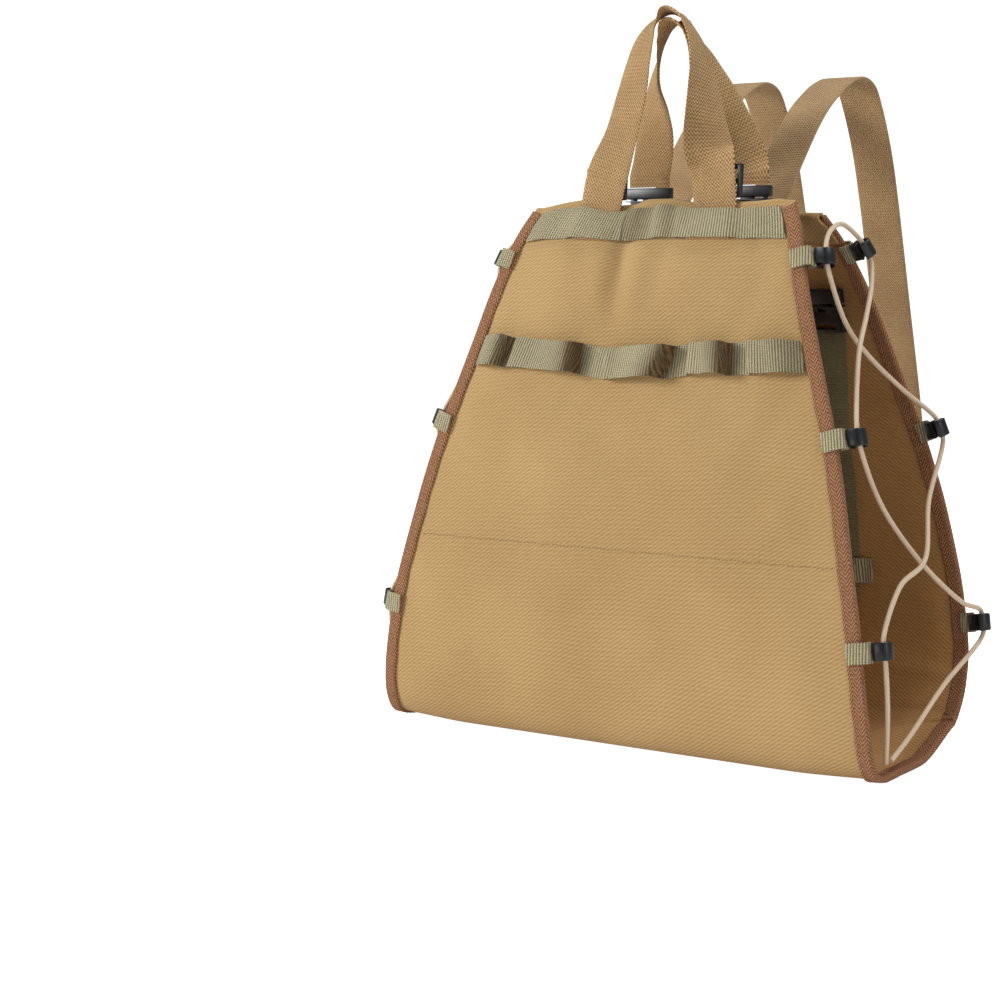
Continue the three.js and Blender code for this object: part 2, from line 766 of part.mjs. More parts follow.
// Shoulder straps: sewn to the back panel's top, free to the adjuster, then a lower strap and a loose end.
function routePoint(row, x) {
  return new THREE.Vector3(x, row.depth * BAG_DEPTH, row.height * BAG_HEIGHT);
}

const ADJUSTER = { width: 46, height: 27, thick: 5 };
for (const [word, side] of [
  ["left", -1],
  ["right", 1],
]) {
  const x = side * STRAP_SPREAD;
  const sewn = [72, 48, 24, 7].map(
    (down) => onSheet(SHEET_LENGTH - down, x, CLOTH / 2 + 2 * CLEARANCE + HANDLE_WEB.thick / 2).point,
  );
  const free = SHOULDER_ROUTE.map((row) => routePoint(row, x));
  const strap = smoothPoints([...sewn, ...free], 46);
  const topWidth = onSheet(SHEET_LENGTH - 24, x + 10, 0).point.sub(onSheet(SHEET_LENGTH - 24, x - 10, 0).point);
  topWidth.normalize();
  addMesh(
    "shoulder_strap_" + word,
    ribbon(
      strap.map((point, i) => ({
        point,
        width: topWidth.clone().lerp(ACROSS, THREE.MathUtils.smoothstep(i, 5, 12)),
      })),
      HANDLE_WEB,
    ),
    TAN_WEB,
  );
  const end = free[free.length - 1];
  const lower = LOWER_ROUTE.map((row) => routePoint(row, x));
  const along = end.clone().sub(lower[0]).normalize();
  const middle = end.clone().addScaledVector(along, -0.5 - ADJUSTER.height / 2);
  addMesh(
    "strap_adjuster_" + word,
    standing(ladderShape(ADJUSTER.width, ADJUSTER.height, 4, 5), ADJUSTER.thick, middle, along, ACROSS),
    BLACK_PLASTIC,
  );
  const lowEnd = middle.clone().addScaledVector(along, -0.5 - ADJUSTER.height / 2);
  const anchorStart = lengthAtHeight("back", 0.3 * BAG_HEIGHT);
  const anchor = [0, 25, 50].map(
    (up) => onSheet(anchorStart + up, x, CLOTH / 2 + 2 * CLEARANCE + TAIL_WEB.thick / 2).point,
  );
  addMesh(
    "lower_strap_" + word,
    ribbon(
      smoothPoints([lowEnd, ...lower.slice(1), ...anchor], 30).map((point) => ({ point, width: ACROSS })),
      TAIL_WEB,
    ),
    KHAKI_WEB,
  );
  const tail = TAIL_ROUTE.map((row) => routePoint(row, x));
  addMesh(
    "strap_tail_" + word,
    ribbon(
      smoothPoints(tail, 8).map((point) => ({ point, width: ACROSS })),
      TAIL_WEB,
    ),
    KHAKI_WEB,
  );
}

// Braces: olive webbing down the inside of both panels and over the floor, with buckles and keepers.
const BRACE_LIFT = -(CLOTH / 2 + 1.4 * CLEARANCE + BRACE_WEB.thick / 2);
const braceStart = lengthAtHeight("front", 0.83 * BAG_HEIGHT);
const braceEnd = lengthAtHeight("back", 0.76 * BAG_HEIGHT);
const BRACE_BUCKLE = { width: 38, height: 34, thick: 7 };
const KEEPER = { height: 20, foot: 8 };
for (const [word, side] of [
  ["left", -1],
  ["right", 1],
]) {
  const x = side * (halfWidth(BAG_HEIGHT) - BRACE_INSET);
  const lengths = [
    ...stations(braceStart, FLOOR_START),
    (FLOOR_START + FLOOR_END) / 2,
    ...stations(FLOOR_END, braceEnd),
  ];
  addMesh(
    "brace_" + word,
    slab(
      lengths.map((length) =>
        [-0.5, 0.5].map((edge) => onSheet(length, x + edge * BRACE_WEB.width, BRACE_LIFT)),
      ),
      BRACE_WEB.thick,
    ),
    OLIVE_WEB,
  );
  for (const [panel, length, sign] of [
    ["front", braceStart, 1],
    ["back", braceEnd, -1],
  ]) {
    const raise = -(CLOTH / 2 + 4.6 * CLEARANCE + BRACE_BUCKLE.thick / 2);
    const at = length - sign * (1.2 + BRACE_BUCKLE.height / 2);
    const low = onSheet(at + sign * 8, x, raise).point;
    const high = onSheet(at - sign * 8, x, raise).point;
    const width = onSheet(at, x + 10, raise).point.sub(onSheet(at, x - 10, raise).point);
    addMesh(
      "brace_buckle_" + panel + "_" + word,
      standing(
        buckleShape(BRACE_BUCKLE.width, BRACE_BUCKLE.height),
        BRACE_BUCKLE.thick,
        onSheet(at, x, raise).point,
        high.sub(low).normalize(),
        width,
      ),
      BLACK_PLASTIC,
    );
    const keeperMiddle = lengthAtHeight(panel, (panel === "front" ? 0.2 : 0.3) * BAG_HEIGHT);
    const over = BRACE_LIFT - BRACE_WEB.thick / 2 - CLEARANCE - STRIP_WEB.thick / 2;
    const rest = -(CLOTH / 2 + CLEARANCE + STRIP_WEB.thick / 2);
    const inner = BRACE_WEB.width / 2;
    const columns = [
      [-inner - KEEPER.foot - 4, rest],
      [-inner - 4, rest],
      [-inner - 1, over],
      [inner + 1, over],
      [inner + 4, rest],
      [inner + KEEPER.foot + 4, rest],
    ];
    addMesh(
      "keeper_" + panel + "_" + word,
      slab(
        columns.map(([off, raised]) =>
          [-0.5, 0, 0.5].map((edge) => onSheet(keeperMiddle + edge * KEEPER.height, x + off, raised)),
        ),
        STRIP_WEB.thick,
      ),
      KHAKI_WEB,
    );
  }
}

// Tabs folded over the binding, each with a plastic hook that holds the lace.
// The tab's nose and the hook are swung about the edge of the sheet by the pull of the lace.
const tabInner = BINDING.half + TAB.ease;
const tabOuter = tabInner + TAB.wall;
const tabLip = BINDING.lip + TAB.ease;
const TAB_PIVOT = tabLip + 0.6;
const NOSE_LENGTH = TAB.nose - TAB_PIVOT;

function tabSection(swing) {
  const turn = THREE.MathUtils.degToRad(swing);
  const swung = (ahead, up) => [
    TAB_PIVOT + ahead * Math.cos(turn) + up * Math.sin(turn),
    up * Math.cos(turn) - ahead * Math.sin(turn),
  ];
  return [
    [-TAB.reach, tabOuter],
    [tabLip + 0.4, tabOuter],
    swung(1.2, tabInner + 0.4),
    swung(NOSE_LENGTH, TAB.wall),
    swung(NOSE_LENGTH, -TAB.wall),
    [tabLip, -tabOuter],
    [-TAB.inside, -tabOuter],
    [-TAB.inside, -tabInner],
    [tabLip, -tabInner],
    [tabLip, tabInner],
    [-TAB.reach, tabInner],
  ];
}
const CHANNEL = CORD_DIAMETER / 2 + HOOK.ease;
const HOOK_MIDDLE = TAB.nose + 0.5 + HOOK.foot + CHANNEL;

function hookShape() {
  const shape = new THREE.Shape();
  const outer = CHANNEL + HOOK.wall;
  const points = [];
  const start = TAB.nose + 0.5;
  points.push(new THREE.Vector2(start, outer));
  for (let i = 0; i <= 6; i++) {
    const angle = THREE.MathUtils.degToRad(90 - (i * 150) / 6);
    points.push(
      new THREE.Vector2(HOOK_MIDDLE + outer * Math.cos(angle), outer * Math.sin(angle)),
    );
  }
  for (let i = 0; i <= 6; i++) {
    const angle = THREE.MathUtils.degToRad(-60 + (i * 300) / 6);
    points.push(
      new THREE.Vector2(HOOK_MIDDLE + CHANNEL * Math.cos(angle), CHANNEL * Math.sin(angle)),
    );
  }
  const last = THREE.MathUtils.degToRad(240);
  points.push(
    new THREE.Vector2(HOOK_MIDDLE + outer * Math.cos(last), outer * Math.sin(last)),
    new THREE.Vector2(start, -outer),
  );
  shape.setFromPoints(points);
  return shape;
}

function tabFrame(panel, tab, side) {
  return edgeFrame(lengthAtHeight(panel, TAB_HEIGHTS[panel][tab] * BAG_HEIGHT), side);
}

// The tab's frame turned about its pivot, so that the hook follows the nose.
function hookFrame(panel, tab, side) {
  const frame = tabFrame(panel, tab, side);
  const turn = THREE.MathUtils.degToRad(TAB_SWINGS[panel][tab]);
  const out = frame.out.clone().multiplyScalar(Math.cos(turn)).addScaledVector(frame.normal, -Math.sin(turn));
  const normal = frame.normal.clone().multiplyScalar(Math.cos(turn)).addScaledVector(frame.out, Math.sin(turn));
  const point = frame.point.clone().addScaledVector(frame.out, TAB_PIVOT).addScaledVector(out, -TAB_PIVOT);
  return { point, out, normal, along: frame.along };
}

for (const panel of ["front", "back"]) {
  for (const [word, side] of [
    ["left", -1],
    ["right", 1],
  ]) {
    TAB_HEIGHTS[panel].forEach((share, tab) => {
      const seat = tabFrame(panel, tab, side);
      const frame = hookFrame(panel, tab, side);
      const name = panel + "_" + word + "_" + (tab + 1);
      const frames = [-0.5, 0.5].map((end) => ({
        point: seat.point.clone().addScaledVector(seat.along, end * TAB.height),
        out: seat.out,
        normal: seat.normal,
      }));
      addMesh("cord_tab_" + name, sweep(frames, tabSection(TAB_SWINGS[panel][tab])), KHAKI_WEB);
      const hook = new THREE.ExtrudeGeometry(hookShape(), { depth: HOOK.height, bevelEnabled: false });
      hook.translate(0, 0, -HOOK.height / 2);
      const third = frame.out.clone().cross(frame.normal);
      const turn = new THREE.Matrix4().makeBasis(frame.out, frame.normal, third);
      hook.applyMatrix4(turn.setPosition(frame.point));
      addMesh("cord_hook_" + name, hook, BLACK_PLASTIC);
    });
  }
}

// Laces: one elastic cord zigzags over each open side, from the anchor on the floor edge and back to it.
function cordSection() {
  const shape = new THREE.Shape();
  const points = [];
  for (let i = 0; i < 8; i++) {
    const angle = ((i + 0.5) * Math.PI) / 4;
    points.push(
      new THREE.Vector2((CORD_DIAMETER / 2) * Math.cos(angle), (CORD_DIAMETER / 2) * Math.sin(angle)),
    );
  }
  shape.setFromPoints(points);
  return shape;
}

function lacePoints(side) {
  const points = [];
  let before = null;
  for (const row of LACE_ROUTE) {
    if (row.hook) {
      const frame = hookFrame(row.hook, row.tab, side);
      const middle = frame.point.clone().addScaledVector(frame.out, HOOK_MIDDLE);
      const ends = [-1, 0, 1].map((end) =>
        middle.clone().addScaledVector(frame.along, end * (HOOK.height / 2 + 2)),
      );
      if (ends[0].distanceTo(before) > ends[2].distanceTo(before)) ends.reverse();
      points.push(...ends);
    } else {
      const z = row.height * BAG_HEIGHT;
      const out = row.out > 0 && side < 0 ? row.out * LEFT_LACE : row.out;
      points.push(new THREE.Vector3(side * (halfWidth(z) + out), row.depth * BAG_DEPTH, z));
    }
    before = points[points.length - 1];
  }
  return points;
}

for (const [word, side] of [
  ["left", -1],
  ["right", 1],
]) {
  const route = new THREE.CatmullRomCurve3(lacePoints(side), false, "centripetal");
  const cord = new THREE.ExtrudeGeometry(cordSection(), {
    steps: CORD_STEPS,
    extrudePath: route,
    bevelEnabled: false,
  });
  addMesh("lace_" + word, cord, CREAM_CORD);
}

export default carrier;
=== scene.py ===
import math

import bpy
import numpy as np
from mathutils import Matrix, Vector


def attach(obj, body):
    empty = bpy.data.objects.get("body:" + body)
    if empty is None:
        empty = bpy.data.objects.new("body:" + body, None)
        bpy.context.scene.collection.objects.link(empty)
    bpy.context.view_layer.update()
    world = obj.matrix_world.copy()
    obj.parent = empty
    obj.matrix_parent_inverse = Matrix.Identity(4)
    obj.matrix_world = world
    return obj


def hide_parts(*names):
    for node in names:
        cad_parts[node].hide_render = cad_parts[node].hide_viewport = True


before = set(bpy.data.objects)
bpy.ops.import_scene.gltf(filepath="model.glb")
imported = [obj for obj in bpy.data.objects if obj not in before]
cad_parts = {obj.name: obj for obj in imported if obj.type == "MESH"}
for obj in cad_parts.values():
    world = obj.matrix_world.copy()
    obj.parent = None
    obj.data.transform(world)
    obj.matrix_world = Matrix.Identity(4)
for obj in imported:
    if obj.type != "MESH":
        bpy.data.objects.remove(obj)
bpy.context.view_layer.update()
bpy.ops.object.select_all(action="DESELECT")

# The camera stands to the right of the front, a little above the middle of the bag, and looks slightly down.
# Its shift only brings the frame's edges to where the photograph has them.
CAMERA_AZIMUTH = math.radians(32.0)
CAMERA_DOWN = math.radians(3.5)
bpy.ops.object.camera_add(location=(0.8405, -1.3390, 0.3633))
camera = bpy.context.object
backward = Vector((
    math.sin(CAMERA_AZIMUTH) * math.cos(CAMERA_DOWN),
    -math.cos(CAMERA_AZIMUTH) * math.cos(CAMERA_DOWN),
    math.sin(CAMERA_DOWN),
))
camera.rotation_mode = "QUATERNION"
camera.rotation_quaternion = (-backward).to_track_quat("-Z", "Y")
camera.data.sensor_width = 36.0
camera.data.lens = 71.755
camera.data.shift_x = -0.1823
camera.data.shift_y = -0.1054
bpy.context.scene.camera = camera

# A white floor under a white room, and plain soft studio light from the front left.
# Nothing of it belongs to the carrier.
bpy.ops.mesh.primitive_plane_add(size=60.0, location=(0, 0, -0.0005))
floor = bpy.context.object
floor.name = "studio_floor"
bpy.ops.object.transform_apply(location=True)


def srgb(hex_colour):
    """An sRGB hex colour as linear red, green, blue and alpha."""
    parts = [int(hex_colour[i:i + 2], 16) / 255 for i in (1, 3, 5)]
    return (*[p / 12.92 if p <= 0.04045 else ((p + 0.055) / 1.055) ** 2.4 for p in parts], 1.0)


def add_node(tree, kind, settings=None, links=None):
    """Adds a node: settings are its own or its sockets' values, links its sockets' sources."""
    node = tree.nodes.new(kind)
    for key, value in (settings or {}).items():
        if isinstance(key, str) and hasattr(node, key):
            setattr(node, key, value)
        else:
            node.inputs[key].default_value = value
    for key, source in (links or {}).items():
        output = source if isinstance(source, bpy.types.NodeSocket) else source.outputs[0]
        tree.links.new(output, node.inputs[key])
    return node


paper = bpy.data.materials.new("matt white paper backdrop")
paper.use_nodes = True
shader = paper.node_tree.nodes["Principled BSDF"]
shader.inputs["Base Color"].default_value = srgb("#f6f5f4")
shader.inputs["Roughness"].default_value = 1.0
shader.inputs["Specular IOR Level"].default_value = 0.0
shader.inputs["Emission Color"].default_value = srgb("#ffffff")
seen = add_node(paper.node_tree, "ShaderNodeLightPath")
glow = add_node(paper.node_tree, "ShaderNodeMapRange", {3: 0.08, 4: 1.0}, {0: seen.outputs["Is Camera Ray"]})
paper.node_tree.links.new(glow.outputs[0], shader.inputs["Emission Strength"])
floor.data.materials.append(paper)

world = bpy.data.worlds.new("soft white room")
bpy.context.scene.world = world
world.use_nodes = True
sky = world.node_tree.nodes["Background"]
sky.inputs["Color"].default_value = srgb("#ffffff")
seen = add_node(world.node_tree, "ShaderNodeLightPath")
glow = add_node(world.node_tree, "ShaderNodeMapRange", {3: 0.22, 4: 1.2}, {0: seen.outputs["Is Camera Ray"]})
world.node_tree.links.new(glow.outputs[0], sky.inputs["Strength"])
bpy.context.scene.view_settings.view_transform = "Standard"
bpy.context.scene.view_settings.look = "None"

for light_name, place, aim, breadth, power in [
    ("key_softbox", (-2.3, -2.1, 1.15), (0.0, 0.0, 0.25), 0.9, 76.0),
    ("fill_softbox", (2.4, -1.3, 0.9), (0.0, 0.0, 0.2), 1.0, 8.0),
    ("top_softbox", (0.7, 0.3, 2.5), (0.0, 0.1, 0.2), 1.2, 30.0),
]:
    bpy.ops.object.light_add(type="AREA", location=place)
    lamp = bpy.context.object
    lamp.name = light_name
    lamp.data.size = breadth
    lamp.data.energy = power
    lamp.rotation_mode = "QUATERNION"
    lamp.rotation_quaternion = (Vector(aim) - Vector(place)).to_track_quat("-Z", "Y")

# The body: one long sheet of waxed cotton canvas, doubled and sewn flat, hung as a bag open left and right.
# It is cut wide at its middle and narrow at both mouths, and its two short ends are turned in and sewn.
# Sizes are in millimetres here and in every section, and a mesh is made in metres.
BAG_HEIGHT = 418.0
BAG_DEPTH = 188.0
SHEET_WIDTH = 442.0
CLOTH = 2.0
CLEARANCE = 0.7
HEM = 24.0
HEM_RADIUS = 2.5
MOUTH_BOW = 30.0
CORNER_CURL = 21.0
EDGE_TUCK = 2.5
FRONT_PROFILE = [  # share of the depth, share of the height
    (-0.157, 1.0), (-0.218, 0.938), (-0.285, 0.85), (-0.335, 0.742), (-0.385, 0.63),
    (-0.438, 0.51), (-0.486, 0.39), (-0.522, 0.28), (-0.54, 0.18), (-0.54, 0.1),
    (-0.522, 0.045), (-0.472, 0.01), (-0.394, 0.0),
]
BACK_PROFILE = [
    (0.234, 0.0), (0.312, 0.014), (0.374, 0.056), (0.414, 0.13), (0.438, 0.225),
    (0.448, 0.335), (0.436, 0.435), (0.4, 0.535), (0.362, 0.625), (0.328, 0.715),
    (0.286, 0.8), (0.225, 0.875), (0.15, 0.935), (0.072, 0.986),
]
WIDTHS = [  # share of the height, share of the half width
    (0.0, 1.0), (0.095, 0.991), (0.19, 0.968), (0.285, 0.941), (0.38, 0.901), (0.475, 0.862),
    (0.57, 0.815), (0.66, 0.757), (0.755, 0.698), (0.85, 0.642), (0.945, 0.585), (1.0, 0.53),
]
SEAM_HEIGHT = 152.0  # the doubled foot of the sheet is sewn on here, front and back


def run_along(line):
    """Distance along a line of points, from its first one."""
    return np.concatenate([[0], np.cumsum(np.linalg.norm(np.diff(line, axis=0), axis=1))])


def smooth_path(points, count):
    """Evenly spaced points on a centripetal curve through the given ones."""
    given = np.asarray(points, float)
    ends = [2 * given[0] - given[1], *given, 2 * given[-1] - given[-2]]
    dense = [given[0]]
    for i in range(len(given) - 1):
        p0, p1, p2, p3 = ends[i:i + 4]
        d0, d1, d2 = (max(np.linalg.norm(b - a) ** 0.5, 1e-4) for a, b in ((p0, p1), (p1, p2), (p2, p3)))
        t1 = ((p1 - p0) / d0 - (p2 - p0) / (d0 + d1) + (p2 - p1) / d1) * d1
        t2 = ((p2 - p1) / d1 - (p3 - p1) / (d1 + d2) + (p3 - p2) / d2) * d1
        for w in np.linspace(0, 1, 33)[1:]:
            bend = (3 * (p2 - p1) - 2 * t1 - t2) * w ** 2 + (2 * (p1 - p2) + t1 + t2) * w ** 3
            dense.append(p1 + t1 * w + bend)
    dense = np.array(dense)
    run = run_along(dense)
    at = np.linspace(0, run[-1], count)
    return np.stack([np.interp(at, run, dense[:, k]) for k in range(dense.shape[1])], -1)


def ease(value, low, high):
    """Rises softly from 0 to 1 while the value goes from low to high."""
    part = np.clip((np.asarray(value, float) - low) / (high - low), 0, 1)
    return part * part * (3 - 2 * part)


PANEL_POINTS = 241
UPRIGHT = BAG_HEIGHT - HEM_RADIUS - CLOTH
profile = np.concatenate([
    smooth_path([(d * BAG_DEPTH, CLOTH / 2 + h * UPRIGHT) for d, h in rows], PANEL_POINTS)
    for rows in (FRONT_PROFILE, BACK_PROFILE)
])
profile_run = run_along(profile)
SHEET_LENGTH = profile_run[-1]
FLOOR_START = profile_run[PANEL_POINTS - 1]
FLOOR_END = profile_run[PANEL_POINTS]
width_heights = np.linspace(0, BAG_HEIGHT, 200)
width_values = np.interp(width_heights / BAG_HEIGHT, *zip(*WIDTHS)) * SHEET_WIDTH / 2
width_values[6:-6] = np.convolve(width_values, np.ones(13) / 13, mode="valid")


def half_width(z):
    """Half the sheet's width at a height."""
    return np.interp(z, width_heights, width_values)


def profile_at(length):
    """Depth and height of the sheet's middle layer at a distance along it."""
    at = np.clip(length, 0, SHEET_LENGTH)
    return np.interp(at, profile_run, profile[:, 0]), np.interp(at, profile_run, profile[:, 1])


def length_at(panel, z):
    """Distance along the sheet at which a panel reaches a height."""
    if panel == "front":
        return np.interp(z, profile[PANEL_POINTS - 1::-1, 1], profile_run[PANEL_POINTS - 1::-1])
    return np.interp(z, profile[PANEL_POINTS:, 1], profile_run[PANEL_POINTS:])


# Soft folds: panel, height of the middle, place across, lean, half length, half breadth, lift off the sheet.
SOFT_FOLDS = [
    ("front", 362, -24, 0.05, 34, 8, -3.4), ("front", 360, -6, 0.0, 30, 8, 1.6),
    ("front", 345, -74, 0.15, 34, 24, 2.4), ("front", 362, 14, -0.1, 26, 9, -1.4),
    ("front", 362, -44, 0.2, 28, 9, 1.4), ("front", 342, 40, -0.2, 36, 26, 1.8),
    ("front", 345, 98, -0.35, 34, 13, -1.2), ("front", 330, -112, 0.3, 28, 12, -0.8),
    ("front", 250, -95, 0.55, 62, 26, 1.5), ("front", 238, -20, 0.6, 66, 24, -1.6),
    ("front", 236, 62, 0.5, 60, 30, 1.9), ("front", 252, 128, -0.25, 54, 16, -1.7),
    ("front", 205, 150, -0.6, 40, 15, 1.3), ("front", 190, -150, 0.3, 46, 20, -0.9),
    ("front", 104, -70, 0.8, 50, 34, 1.1), ("front", 96, 60, 0.9, 50, 34, -1.1),
    ("front", 80, 165, 0.3, 44, 20, 1.0), ("back", 330, 60, 0.2, 50, 20, 2.2),
    ("back", 320, -40, -0.2, 60, 22, -2.0), ("back", 250, 110, 0.4, 60, 24, -2.4),
    ("back", 230, -110, -0.4, 60, 24, 2.2), ("back", 215, 10, 0.2, 70, 30, 2.2),
    ("back", 120, 120, -0.4, 44, 24, 2.0), ("back", 110, -60, 0.3, 50, 30, -2.0),
    ("back", 90, 190, 0.2, 34, 16, -2.0), ("back", 90, -185, 0.2, 34, 16, -2.0),
]
# Creases across the sheet near the floor, where it was folded for packing: length past the floor, depth.
CROSS_CREASES = [(30.0, 1.3), (66.0, -1.7), (-52.0, 1.0), (-96.0, -1.2)]
# The front mouth's edge isn't straight: place across, height of its wave.
MOUTH_WAVE = [
    (-112, 0.0), (-92, 2.5), (-72, 4.5), (-58, 2.0), (-42, -1.5), (-28, 1.0), (-10, 4.0), (14, 4.0),
    (32, 0.5), (60, 0.0), (84, 1.5), (104, 3.0), (114, 2.0),
]
# The handles' feet pull the front mouth in between them: place across, depth, spread.
MOUTH_DIPS = [(-0.2, 3.0, 6.0), (0.72, 1.8, 9.0)]


def fold_lift(length, x, z):
    """How far folds, creases and the doubled foot's seam lift the sheet off its smooth shape."""
    lift = np.zeros(np.broadcast(length, x).shape)
    for panel, height, across, lean, long, broad, rise in SOFT_FOLDS:
        here = length < FLOOR_START if panel == "front" else length > FLOOR_END
        down = height - z
        away = x - across - lean * down
        lift += np.where(here, rise * np.exp(-(down / long) ** 2 - (away / broad) ** 2), 0)
    for past, rise in CROSS_CREASES:
        away = length - FLOOR_END - past
        lift += rise * np.exp(-(away / 5.0) ** 2) * ease(np.abs(x), 60, 200)
    doubled = ease(z, SEAM_HEIGHT + 1.2, SEAM_HEIGHT - 1.2)
    pucker = 0.25 * np.sin(x * 0.52 + 0.6 * np.sin(x * 0.11)) * np.exp(-((z - SEAM_HEIGHT) / 7.0) ** 2)
    return lift + 0.35 * doubled + pucker


def sheet_point(length, across):
    """A point of the sheet's middle layer: distance along it, and place across from -1 to 1."""
    length, across = np.broadcast_arrays(np.asarray(length, float), np.asarray(across, float))
    y, z = profile_at(length)
    y1, z1 = profile_at(length + 2)
    y0, z0 = profile_at(length - 2)
    size = np.hypot(y1 - y0, z1 - z0)
    out_y, out_z = (z1 - z0) / size, -(y1 - y0) / size
    half = half_width(z)
    x = across * half
    lift = -EDGE_TUCK * ease(np.abs(across), 0.66, 1)
    lift = lift + fold_lift(length, x, z) * (1 - 0.85 * ease(np.abs(across), 0.86, 1))
    away = np.minimum(1, np.abs(length - FLOOR_END - 14) / 80)
    curl = CORNER_CURL * (0.5 + 0.5 * np.cos(np.pi * away)) * ease(np.abs(across), 0.5, 1)
    lift = lift - np.where(length > FLOOR_START, curl, 0)
    fade = 1 - ease(length, 25, 120)
    for place, depth, spread in MOUTH_DIPS:
        dip = depth * np.exp(-((across - place) * half / spread) ** 2 / 2) * fade
        lift = lift - np.where(length <= FLOOR_START, dip, 0)
    bow = MOUTH_BOW * ease(z / BAG_HEIGHT, 0.6, 1) * (1 - across ** 2)
    base_y = y + np.where(length > FLOOR_END, bow, 0)
    wave = np.interp(x, *np.array(MOUTH_WAVE).T) * (1 - ease(length, 6, 46))
    wave = np.where(length <= FLOOR_START, wave, 0)
    return np.stack([x, base_y + out_y * lift, z + out_z * lift + wave], -1)


def unit(vectors):
    return vectors / np.maximum(np.linalg.norm(vectors, axis=-1, keepdims=True), 1e-9)


def sheet_normal(length, across):
    length, across = np.broadcast_arrays(np.asarray(length, float), np.asarray(across, float))
    after, before = np.minimum(length + 3, SHEET_LENGTH), np.maximum(length - 3, 0)
    right, left = np.minimum(across + 0.02, 1), np.maximum(across - 0.02, -1)
    along = sheet_point(after, across) - sheet_point(before, across)
    return unit(np.cross(along, sheet_point(length, right) - sheet_point(length, left)))


def on_sheet(length, x, lift):
    """A place on the sheet in millimetres: distance along, place across, height off its middle layer."""
    across = np.asarray(x, float) / half_width(profile_at(length)[1])
    normal = sheet_normal(length, across)
    return sheet_point(length, across) + normal * np.asarray(lift, float)[..., None], normal


def pick(piece):
    """Makes the piece the only selected and the active one."""
    bpy.ops.object.select_all(action="DESELECT")
    bpy.context.view_layer.objects.active = piece
    piece.select_set(True)


def new_piece(name, mesh, material):
    """Puts a mesh into the scene as the piece at hand."""
    mesh.materials.append(material)
    piece = bpy.data.objects.new(name, mesh)
    bpy.context.collection.objects.link(piece)
    pick(piece)
    return piece


def cloth_piece(name, upper, lower, across, along, material):
    """A closed piece between two grids of points in millimetres, its cloth's own measure as UV map."""
    rows, columns = upper.shape[:2]
    points = np.concatenate([upper.reshape(-1, 3), lower.reshape(-1, 3)]) / 1000
    points[:, 2] = np.maximum(points[:, 2], 0)  # cloth lies flat on what the carrier stands on
    index = np.arange(rows * columns).reshape(rows, columns)
    a, b, c, d = index[:-1, :-1], index[:-1, 1:], index[1:, 1:], index[1:, :-1]
    top = np.stack([a, b, c, d], -1).reshape(-1, 4)
    under = top[:, ::-1] + rows * columns
    rim = np.concatenate([index[0, :], index[1:, -1], index[-1, -2::-1], index[-2:0:-1, 0]])
    onward = np.roll(rim, -1)
    side = np.stack([onward, rim, rim + rows * columns, onward + rows * columns], -1)
    faces = np.concatenate([top, under, side])
    corners = points[faces]
    turns = np.cross(corners[:, 1], corners[:, 2]) + np.cross(corners[:, 2], corners[:, 3])
    if np.einsum("ij,ij->", corners[:, 0], turns) < 0:
        faces = faces[:, ::-1]
    mesh = bpy.data.meshes.new(name)
    mesh.from_pydata(points.tolist(), [], faces.tolist())
    measure = np.stack(np.broadcast_arrays(across, along), -1).reshape(-1, 2) / 1000
    measure = np.concatenate([measure, measure])
    layer = mesh.uv_layers.new(name="cloth")
    corner_points = np.zeros(len(mesh.loops), int)
    mesh.loops.foreach_get("vertex_index", corner_points)
    layer.data.foreach_set("uv", measure[corner_points].ravel())
    under_side = mesh.attributes.new("under_side", "FLOAT", "POINT")
    under_side.data.foreach_set("value", np.repeat([0.0, 1.0], rows * columns))
    piece = new_piece(name, mesh, material)
    bpy.ops.object.shade_smooth_by_angle(angle=math.radians(50))
    return piece


def fasten(piece, nodes):
    """The piece belongs to the one body and stands for its CAD nodes, which it hides."""
    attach(piece, "root")
    if nodes:
        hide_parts(*nodes)


# Waxed cotton canvas in a steep twill: matt, with fine slanting ribs, slubs and faint bands from the weft.
# Its real ribs, about 1.2 mm apart, are too fine to show here, so they are drawn 2.5 mm apart.
def cloth_material(name):
    material = bpy.data.materials.new(name)
    material.use_nodes = True
    return material, material.node_tree, material.node_tree.nodes["Principled BSDF"]


canvas, tree, shader = cloth_material("waxed cotton twill canvas")
measure = add_node(tree, "ShaderNodeUVMap", {"uv_map": "cloth"})
place = add_node(tree, "ShaderNodeTexCoord")
TWILL = 2.5 / 1000
BAND = 3.4 / 1000
drift = add_node(tree, "ShaderNodeTexNoise", {"Scale": 14.0, "Detail": 1.0}, {"Vector": measure})
warp = add_node(tree, "ShaderNodeMath", {"operation": "MULTIPLY", 1: 16.0}, {0: drift})
waves = []
for gap, slant, rise in ((TWILL, 0.55, 0.83), (BAND, 0.05, 1.0)):
    pitch = 2 * math.pi / gap
    run = add_node(tree, "ShaderNodeVectorMath", {
        "operation": "DOT_PRODUCT", 1: (slant * pitch, rise * pitch, 0)}, {0: measure})
    bent = add_node(tree, "ShaderNodeMath", {"operation": "ADD"}, {0: run.outputs["Value"], 1: warp})
    waves.append(add_node(tree, "ShaderNodeMath", {"operation": "SINE"}, {0: bent}))
twill, band = waves
slub = add_node(tree, "ShaderNodeTexNoise", {"Scale": 420.0, "Detail": 3.0}, {"Vector": measure})
stain = add_node(tree, "ShaderNodeTexNoise", {"Scale": 9.0, "Detail": 3.0}, {
    "Vector": place.outputs["Object"]})
mixed = add_node(tree, "ShaderNodeMath", {"operation": "MULTIPLY_ADD", 1: 0.24, 2: 0.5}, {0: twill})
for share, source in ((0.1, band), (0.5, slub), (0.7, stain)):
    mixed = add_node(tree, "ShaderNodeMath", {"operation": "MULTIPLY_ADD", 1: share}, {0: source, 2: mixed})
